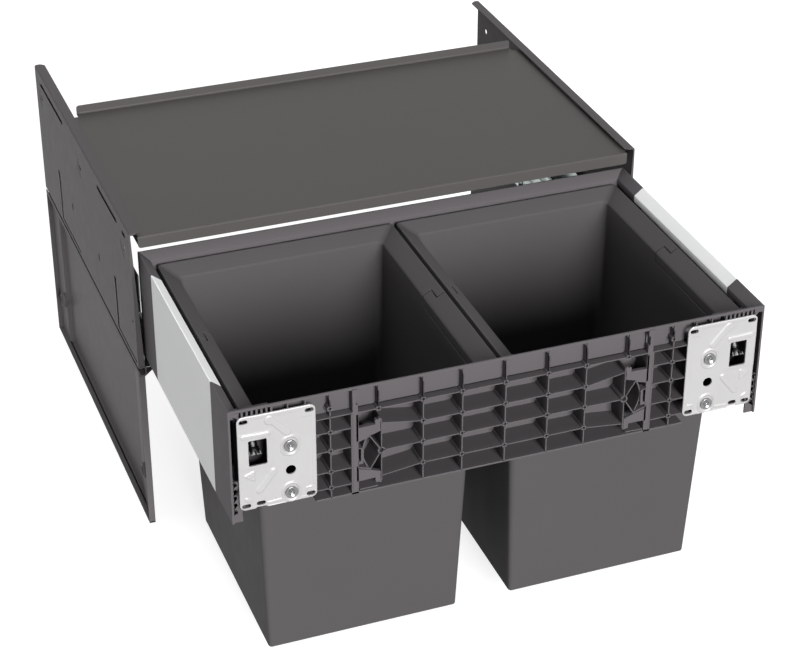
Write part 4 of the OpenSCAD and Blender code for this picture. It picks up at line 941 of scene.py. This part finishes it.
def side_cover_solid():
    """Outer cover of a drawer side, drawn for the right side."""
    return Solid().prism(side_outline(1.5), "y", -255.4, -44.6)


def side_wall_solid():
    """Inner wall of a drawer side, drawn for the right side."""
    face, top = SIDE_IN - 1.5, 317.0
    sheet = [(face, WALL_FOOT), (SIDE_IN, WALL_FOOT), (SIDE_IN, top), (face, top)]
    ledge = [(face, DECK_Z), (face - 8.0, DECK_Z), (face - 8.0, DECK_Z - 1.5), (face, DECK_Z - 1.5)]
    wall = Solid().prism(sheet + ledge, "y", -284.7, -13.6)
    wall.prism(sheet, "y", -13.7, -2.6)
    wall.block((254.85, -25.6, WALL_FOOT), (SIDE_IN, -13.6, 210.5))
    return wall.block((254.85, -25.6, 205.5), (256.85, -13.6, 210.5))


# Zinc-plated fixing plates, measured from their centre

PLATE_U, PLATE_V, PLATE_CORNER, PLATE_BACK, PLATE_SHEET = 37.5, 51.25, 6.0, -311.8, 1.5

# The ends of each pressed ridge, its radius and its share of the emboss height
RIDGES = (
    ((32.0, 29.4), (8.6, 28.9), 2.3, 1.0), ((5.2, 43.6), (-10.0, 26.2), 3.3, 1.0),
    ((6.6, 43.2), (6.7, 43.3), 4.6, 1.0), ((4.2, -13.4), (18.3, -31.6), 3.1, 1.0),
    ((31.0, -39.0), (28.2, -41.2), 1.8, 0.8), ((10.2, -47.4), (-3.0, -46.6), 1.3, 0.55),
    ((9.8, -51.0), (-20.6, -50.6), 0.8, 0.6), ((-26.6, -42.6), (-27.4, -39.6), 0.7, 0.8),
    ((-27.4, -39.4), (-32.4, -38.8), 0.7, 0.8), ((31.4, -12.9), (23.6, -10.0), 1.0, 0.9),
    ((23.6, -10.0), (23.2, -18.8), 1.0, 0.9), ((23.2, -18.8), (31.4, -12.9), 1.0, 0.9),
    ((25.8, -13.8), (26.0, -13.9), 2.2, 0.9),
)


def eased(t):
    t = max(0.0, min(1.0, t))
    return t * t * (3 - 2 * t)


def ridge(u, v, a, b, r):
    """How far a point of the plate is raised by a ridge with round ends, from 0 to 1."""
    dx, dy = b[0] - a[0], b[1] - a[1]
    t = max(0.0, min(1.0, ((u - a[0]) * dx + (v - a[1]) * dy) / (dx * dx + dy * dy)))
    away = math.hypot(u - a[0] - t * dx, v - a[1] - t * dy) - r
    return eased(0.5 - away)


def plate_height(u, v):
    """Height of the plate's face over its sheet, as a share of the emboss height."""
    height = max(share * ridge(u, v, a, b, r) for a, b, r, share in RIDGES)
    middle = -12.3
    for z in (11.5, -40.3):
        outer, inner = (ridge(u, v, (middle, z + half), (middle, z - half), r)
                        for half, r in ((1.8, 9.3), (2.0, 7.0)))
        height = max(height, 1.05 * (outer - inner))
    window = max(abs(u - 18.6) - 8.9, abs(v - 10.7) - 14.0)
    height = max(height, 0.5 * max(0.0, min(1.0, 1.0 - abs(window - 1.0) / 1.2)))
    if (u > 5.4 and -6.6 < v < 33.0) or (v < -47.8 and u < 10.8):
        return max(height, 0.25)
    if v > -37 and u < 24 and (v > 47.6 or u < -33.6 or (u < -23.0 and v > 39.8)):
        return max(height, 0.4)
    return height


def fixing_plate_solid(sizes):
    """Fixing plate, drawn for the right side, face towards the front."""
    step, lift = sizes.grid / MM, sizes.emboss / MM
    face = PLATE_BACK - PLATE_SHEET
    nu, nv = round(2 * PLATE_U / step), round(2 * PLATE_V / step)

    def point(i, j):
        u, v = -PLATE_U + 2 * PLATE_U * i / nu, -PLATE_V + 2 * PLATE_V * j / nv
        edge = min(PLATE_U - abs(u), PLATE_V - abs(v))
        corner_u, corner_v = abs(u) - PLATE_U + PLATE_CORNER, abs(v) - PLATE_V + PLATE_CORNER
        if corner_u > 0 and corner_v > 0:
            edge = PLATE_CORNER - math.hypot(corner_u, corner_v)
        roll = 0.5 * (1 - eased(edge / 0.7))
        return PLATE_X + u, face - lift * plate_height(u, v) + roll, PLATE_Z + v

    def at(i, j):
        return j * (nu + 1) + i

    points = [point(i, j) for j in range(nv + 1) for i in range(nu + 1)]
    count = len(points)
    faces = [(at(i, j), at(i + 1, j), at(i + 1, j + 1), at(i, j + 1)) for j in range(nv) for i in range(nu)]
    rim = [at(i, 0) for i in range(nu + 1)] + [at(nu, j) for j in range(1, nv + 1)]
    rim += [at(i, nv) for i in range(nu - 1, -1, -1)] + [at(0, j) for j in range(nv - 1, 0, -1)]
    points += [(points[k][0], PLATE_BACK, points[k][2]) for k in rim]
    n = len(rim)
    faces += [(rim[k], rim[(k + 1) % n], count + (k + 1) % n, count + k) for k in range(n)]
    faces.append(tuple(range(count + n - 1, count - 1, -1)))
    plate = Solid().faces(points, faces)

    tool = Solid()

    def hole(shape):
        tool.prism([(PLATE_X + u, PLATE_Z + v) for u, v in shape], "y", face - 4, PLATE_BACK + 2)

    for u, v in ((31.3, 46.0), (31.3, -46.6), (-31.4, 46.0), (-31.4, -46.6), (17.1, -45.9)):
        hole(slot_outline(u, v, 8.8, 2.2))
    hole(circle(CLAMP_U, -15.8, 5.0, 32))
    hole([(10.7, 24.7), (9.7, 23.9), (9.7, -2.5), (10.7, -3.3),
          (26.5, -3.3), (27.5, -2.5), (27.5, 23.9), (26.5, 24.7)])
    hole([(11.4, -53), (22.6, -53), (21.8, -49.6), (12.0, -49.6)])
    for v in CLAMP_V:
        hole(slot_outline(CLAMP_U, v, 9.6, 2.8, 90))
    outline = [(PLATE_X + u, PLATE_Z + v) for u, v in rounded(PLATE_U, PLATE_V, PLATE_CORNER)]
    return plate.carved(tool).carved(Solid().prism(outline, "y", face - 4, PLATE_BACK), "INTERSECT")


def adjuster_solid():
    """Height adjuster on its own axis: a barrel with a notched head below."""
    profile = [(0.4, 20.0), (2.0, 19.6), (2.0, 15.2), (4.4, 15.0), (5.0, 14.4), (5.0, 1.2), (4.5, 0.8),
               (4.5, 0.4), (5.0, 0.0), (7.6, -7.3), (7.3, -8.0), (0.4, -8.0)]
    body = Solid().turned(profile, "z", (0, 0), 40)
    for angle in (0, 90):
        groove = set_points([(-9, -0.9), (9, -0.9), (9, 0.9), (-9, 0.9)], angle)
        body = body.carved(Solid().prism(groove, "z", -9.5, -4.2))
    tool = Solid()
    for centre in arc(0, 0, 7.4, 45, 315, 3):
        tool.turned([(1.1, -9.5), (1.1, -1.5)], "z", centre, 12)
    return body.carved(tool)


# Operators

CAMERA_PLACE, CAMERA_TILT, CAMERA_TURN = (-0.690667, -1.936164, 1.385439), 59.1311, -20.51845
LENS, SENSOR, CLIP_END = 96.314, 36, 100

# The direction that each soft far lamp stands in, its spread in degrees and its strength
LAMPS = {
    "key": ((0.06, -0.95, 0.3), 26, 5.6),
    "top": ((-0.1, 0.35, 0.93), 80, 1.9),
    "fill": ((-0.99, -0.1, 0.06), 16, 0.7),
}
FLOOR_HALF, FLOOR_Z, FLOOR_GREY, FLOOR_GLOW, WORLD_LIGHT = 20, -0.002, 0.4, 0.8, 0.05


class BINUNIT_OT_stage(bpy.types.Operator):
    """Camera, soft studio light and a pale floor"""
    bl_idname = "binunit.stage"
    bl_label = "Stage"

    def execute(self, context):
        camera = new_object("camera", bpy.data.cameras.new("camera"))
        camera.location = CAMERA_PLACE
        camera.rotation_euler = (math.radians(CAMERA_TILT), 0, math.radians(CAMERA_TURN))
        camera.data.lens, camera.data.sensor_width, camera.data.clip_end = LENS, SENSOR, CLIP_END
        context.scene.camera = camera
        self.light_world(context)
        for name, (towards, spread, strength) in LAMPS.items():
            self.lamp(name, towards, spread, strength)
        self.lay_floor()
        context.scene.view_settings.view_transform = "Standard"
        return {"FINISHED"}

    def light_world(self, context):
        """White to the camera and in mirrors, with little light of its own"""
        world = bpy.data.worlds.new("studio")
        context.scene.world = world
        world.use_nodes = True
        nodes = Nodes(world.node_tree)
        strength = WORLD_LIGHT + (1 - WORLD_LIGHT) * nodes.direct_ray()
        background = nodes.node("ShaderNodeBackground", Color=(1, 1, 1, 1), Strength=strength)
        nodes.node("ShaderNodeOutputWorld", Surface=background.outputs[0])

    def lamp(self, name, towards, spread, strength):
        light = bpy.data.lights.new(name, "SUN")
        light.angle, light.energy = math.radians(spread), strength
        holder = new_object(name, light)
        holder.location = [3 * c for c in towards]
        holder.rotation_euler = Vector(towards).to_track_quat("Z", "Y").to_euler()

    def lay_floor(self):
        sheet = bmesh.new()
        bmesh.ops.create_grid(sheet, x_segments=1, y_segments=1, size=FLOOR_HALF)
        mesh = bpy.data.meshes.new("floor")
        sheet.to_mesh(mesh)
        sheet.free()
        floor = new_object("floor", mesh)
        floor.location = (0, 0, FLOOR_Z)
        shader = Shader("floor")
        matt = shader.node("ShaderNodeBsdfDiffuse", Color=(FLOOR_GREY, FLOOR_GREY, FLOOR_GREY, 1))
        glow = shader.node("ShaderNodeEmission", Color=(1, 1, 1, 1),
                           Strength=shader.direct_ray() * FLOOR_GLOW)
        both = shader.node("ShaderNodeAddShader", i0=matt.outputs[0], i1=glow.outputs[0])
        floor.data.materials.append(shader.finish(both))


class BINUNIT_OT_cabinet_steel(bpy.types.Operator):
    """Side plates, lower guards and the shelf lid, bent from sheet steel"""
    bl_idname = "binunit.cabinet_steel"
    bl_label = "Cabinet steel"

    def execute(self, context):
        for side, j in SIDES:
            for node, drawn, slot in (("side_plate", side_plate_solid, "coated_steel"),
                                      ("lower_guard", lower_guard_solid, "guard_steel")):
                node = f"{node}_{side}"
                make(f"{node}_sheet", drawn().mirrored(j), "cabinet_side", [node], slot)
        make("shelf_lid_sheet", shelf_lid_solid(), "cabinet_side", ["shelf_lid"], "lid_steel")
        return {"FINISHED"}


class BINUNIT_OT_runners(bpy.types.Operator):
    """Runners, ball cages, dampers and brackets keep their solids"""
    bl_idname = "binunit.runners"
    bl_label = "Runners"

    def execute(self, context):
        kept = {
            "runner_steel": ("cabinet_rail", "middle_rail", "drawer_rail", "rail_bracket", "damper_catch"),
            "black_plastic": ("front_stop", "damper_housing"),
            "cage_plastic": ("lower_cage", "upper_cage"),
        }
        for slot, names in kept.items():
            for name in names:
                for side, _ in SIDES:
                    coat_node(f"{name}_{side}", slot)
        for name in ("rail_rivets", "frame_screws"):
            coat_node(name, "screw_steel")
        return {"FINISHED"}


class BINUNIT_OT_drawer_frame(bpy.types.Operator):
    """Front beam, front corners and rear frame of the drawer"""
    bl_idname = "binunit.drawer_frame"
    bl_label = "Drawer frame"

    def execute(self, context):
        sizes = context.scene.bin_unit_sizes
        make("front_beam_moulding", front_beam_solid(sizes), "drawer", ["front_beam"], FRAME_SLOT)
        make("rear_frame_moulding", rear_frame_solid(), "drawer", ["rear_frame"], FRAME_SLOT)
        for side, j in SIDES:
            node = f"front_corner_{side}"
            make(f"{node}_moulding", front_corner_solid(sizes).mirrored(j), "drawer", [node], FRAME_SLOT)
        return {"FINISHED"}


class BINUNIT_OT_drawer_sides(bpy.types.Operator):
    """Inner walls and outer covers of the drawer's sides"""
    bl_idname = "binunit.drawer_sides"
    bl_label = "Drawer sides"

    def execute(self, context):
        for side, j in SIDES:
            for node, drawn, slot in (("side_wall", side_wall_solid, "wall_plastic"),
                                      ("side_cover", side_cover_solid, "cover_plastic")):
                node = f"{node}_{side}"
                make(f"{node}_moulding", drawn().mirrored(j), "drawer", [node], slot)
        return {"FINISHED"}


class BINUNIT_OT_front_fixings(bpy.types.Operator):
    """Fixing plates, their clamp screws and height adjusters"""
    bl_idname = "binunit.front_fixings"
    bl_label = "Front fixings"

    def execute(self, context):
        sizes = context.scene.bin_unit_sizes
        place = Matrix.Translation((ADJUSTER_X, ADJUSTER_Y, ADJUSTER_Z))
        place @= Matrix.Rotation(math.radians(ADJUSTER_TILT), 4, "X")
        for side, j in SIDES:
            node = f"fixing_plate_{side}"
            plate = fixing_plate_solid(sizes).mirrored(j)
            make(f"{node}_sheet", plate, node, [node], "zinc_steel", smooth=50.0)
            adjuster = adjuster_solid()
            bmesh.ops.transform(adjuster.mesh, matrix=place, verts=adjuster.mesh.verts)
            node = f"adjuster_{side}"
            make(f"{node}_turned", adjuster.mirrored(j), node, [node], "screw_steel")
        height = sizes.screw_height / MM
        places = [(j * CLAMP_X, SCREW_FACE - height / 2, z) for _, j in SIDES for z in CLAMP_Z]
        screws = run_tree(screw_tree(), places, [], "screw_steel", Head=sizes.screw_head / MM, Height=height,
                          Socket=sizes.socket / MM)
        make("clamp_screws_turned", Solid().absorb(screws), "drawer", ["clamp_screws"], "screw_steel",
             edge=sizes.screw_edge)
        return {"FINISHED"}


class BINUNIT_OT_bins(bpy.types.Operator):
    """Bins and their bail handles"""
    bl_idname = "binunit.bins"
    bl_label = "Bins"

    def execute(self, context):
        sizes = context.scene.bin_unit_sizes
        kinds = (("bin", bin_solid, sizes.bin_edge), ("bin_handle", handle_solid, sizes.handle_edge))
        for side, j in SIDES:
            for node, drawn, edge in kinds:
                node = f"{node}_{side}"
                solid = drawn(sizes.corner_steps).moved(j * BIN_X, BIN_Y)
                make(f"{node}_moulding", solid, node, [node], "bin_plastic", edge=edge)
        return {"FINISHED"}


class BINUNIT_PT_panel(bpy.types.Panel):
    """Lists the steps that build the unit"""
    bl_label = "Bin unit"
    bl_idname = "BINUNIT_PT_panel"
    bl_space_type = "VIEW_3D"
    bl_region_type = "UI"
    bl_category = "Bin unit"

    def draw(self, context):
        for step in STEPS:
            self.layout.operator(step.bl_idname)


STEPS = (BINUNIT_OT_stage, BINUNIT_OT_cabinet_steel, BINUNIT_OT_runners, BINUNIT_OT_drawer_frame,
         BINUNIT_OT_drawer_sides, BINUNIT_OT_front_fixings, BINUNIT_OT_bins)
CLASSES = (BinUnitColours, BinUnitSizes) + STEPS + (BINUNIT_PT_panel,)


def register():
    for item in CLASSES:
        bpy.utils.register_class(item)
    bpy.types.Scene.bin_unit_colours = PointerProperty(type=BinUnitColours)
    bpy.types.Scene.bin_unit_sizes = PointerProperty(type=BinUnitSizes)


def unregister():
    del bpy.types.Scene.bin_unit_sizes
    del bpy.types.Scene.bin_unit_colours
    for item in reversed(CLASSES):
        bpy.utils.unregister_class(item)


def main():
    register()
    for step in STEPS:
        group, name = step.bl_idname.split(".")
        getattr(getattr(bpy.ops, group), name)()


if __name__ == "__main__":
    main()
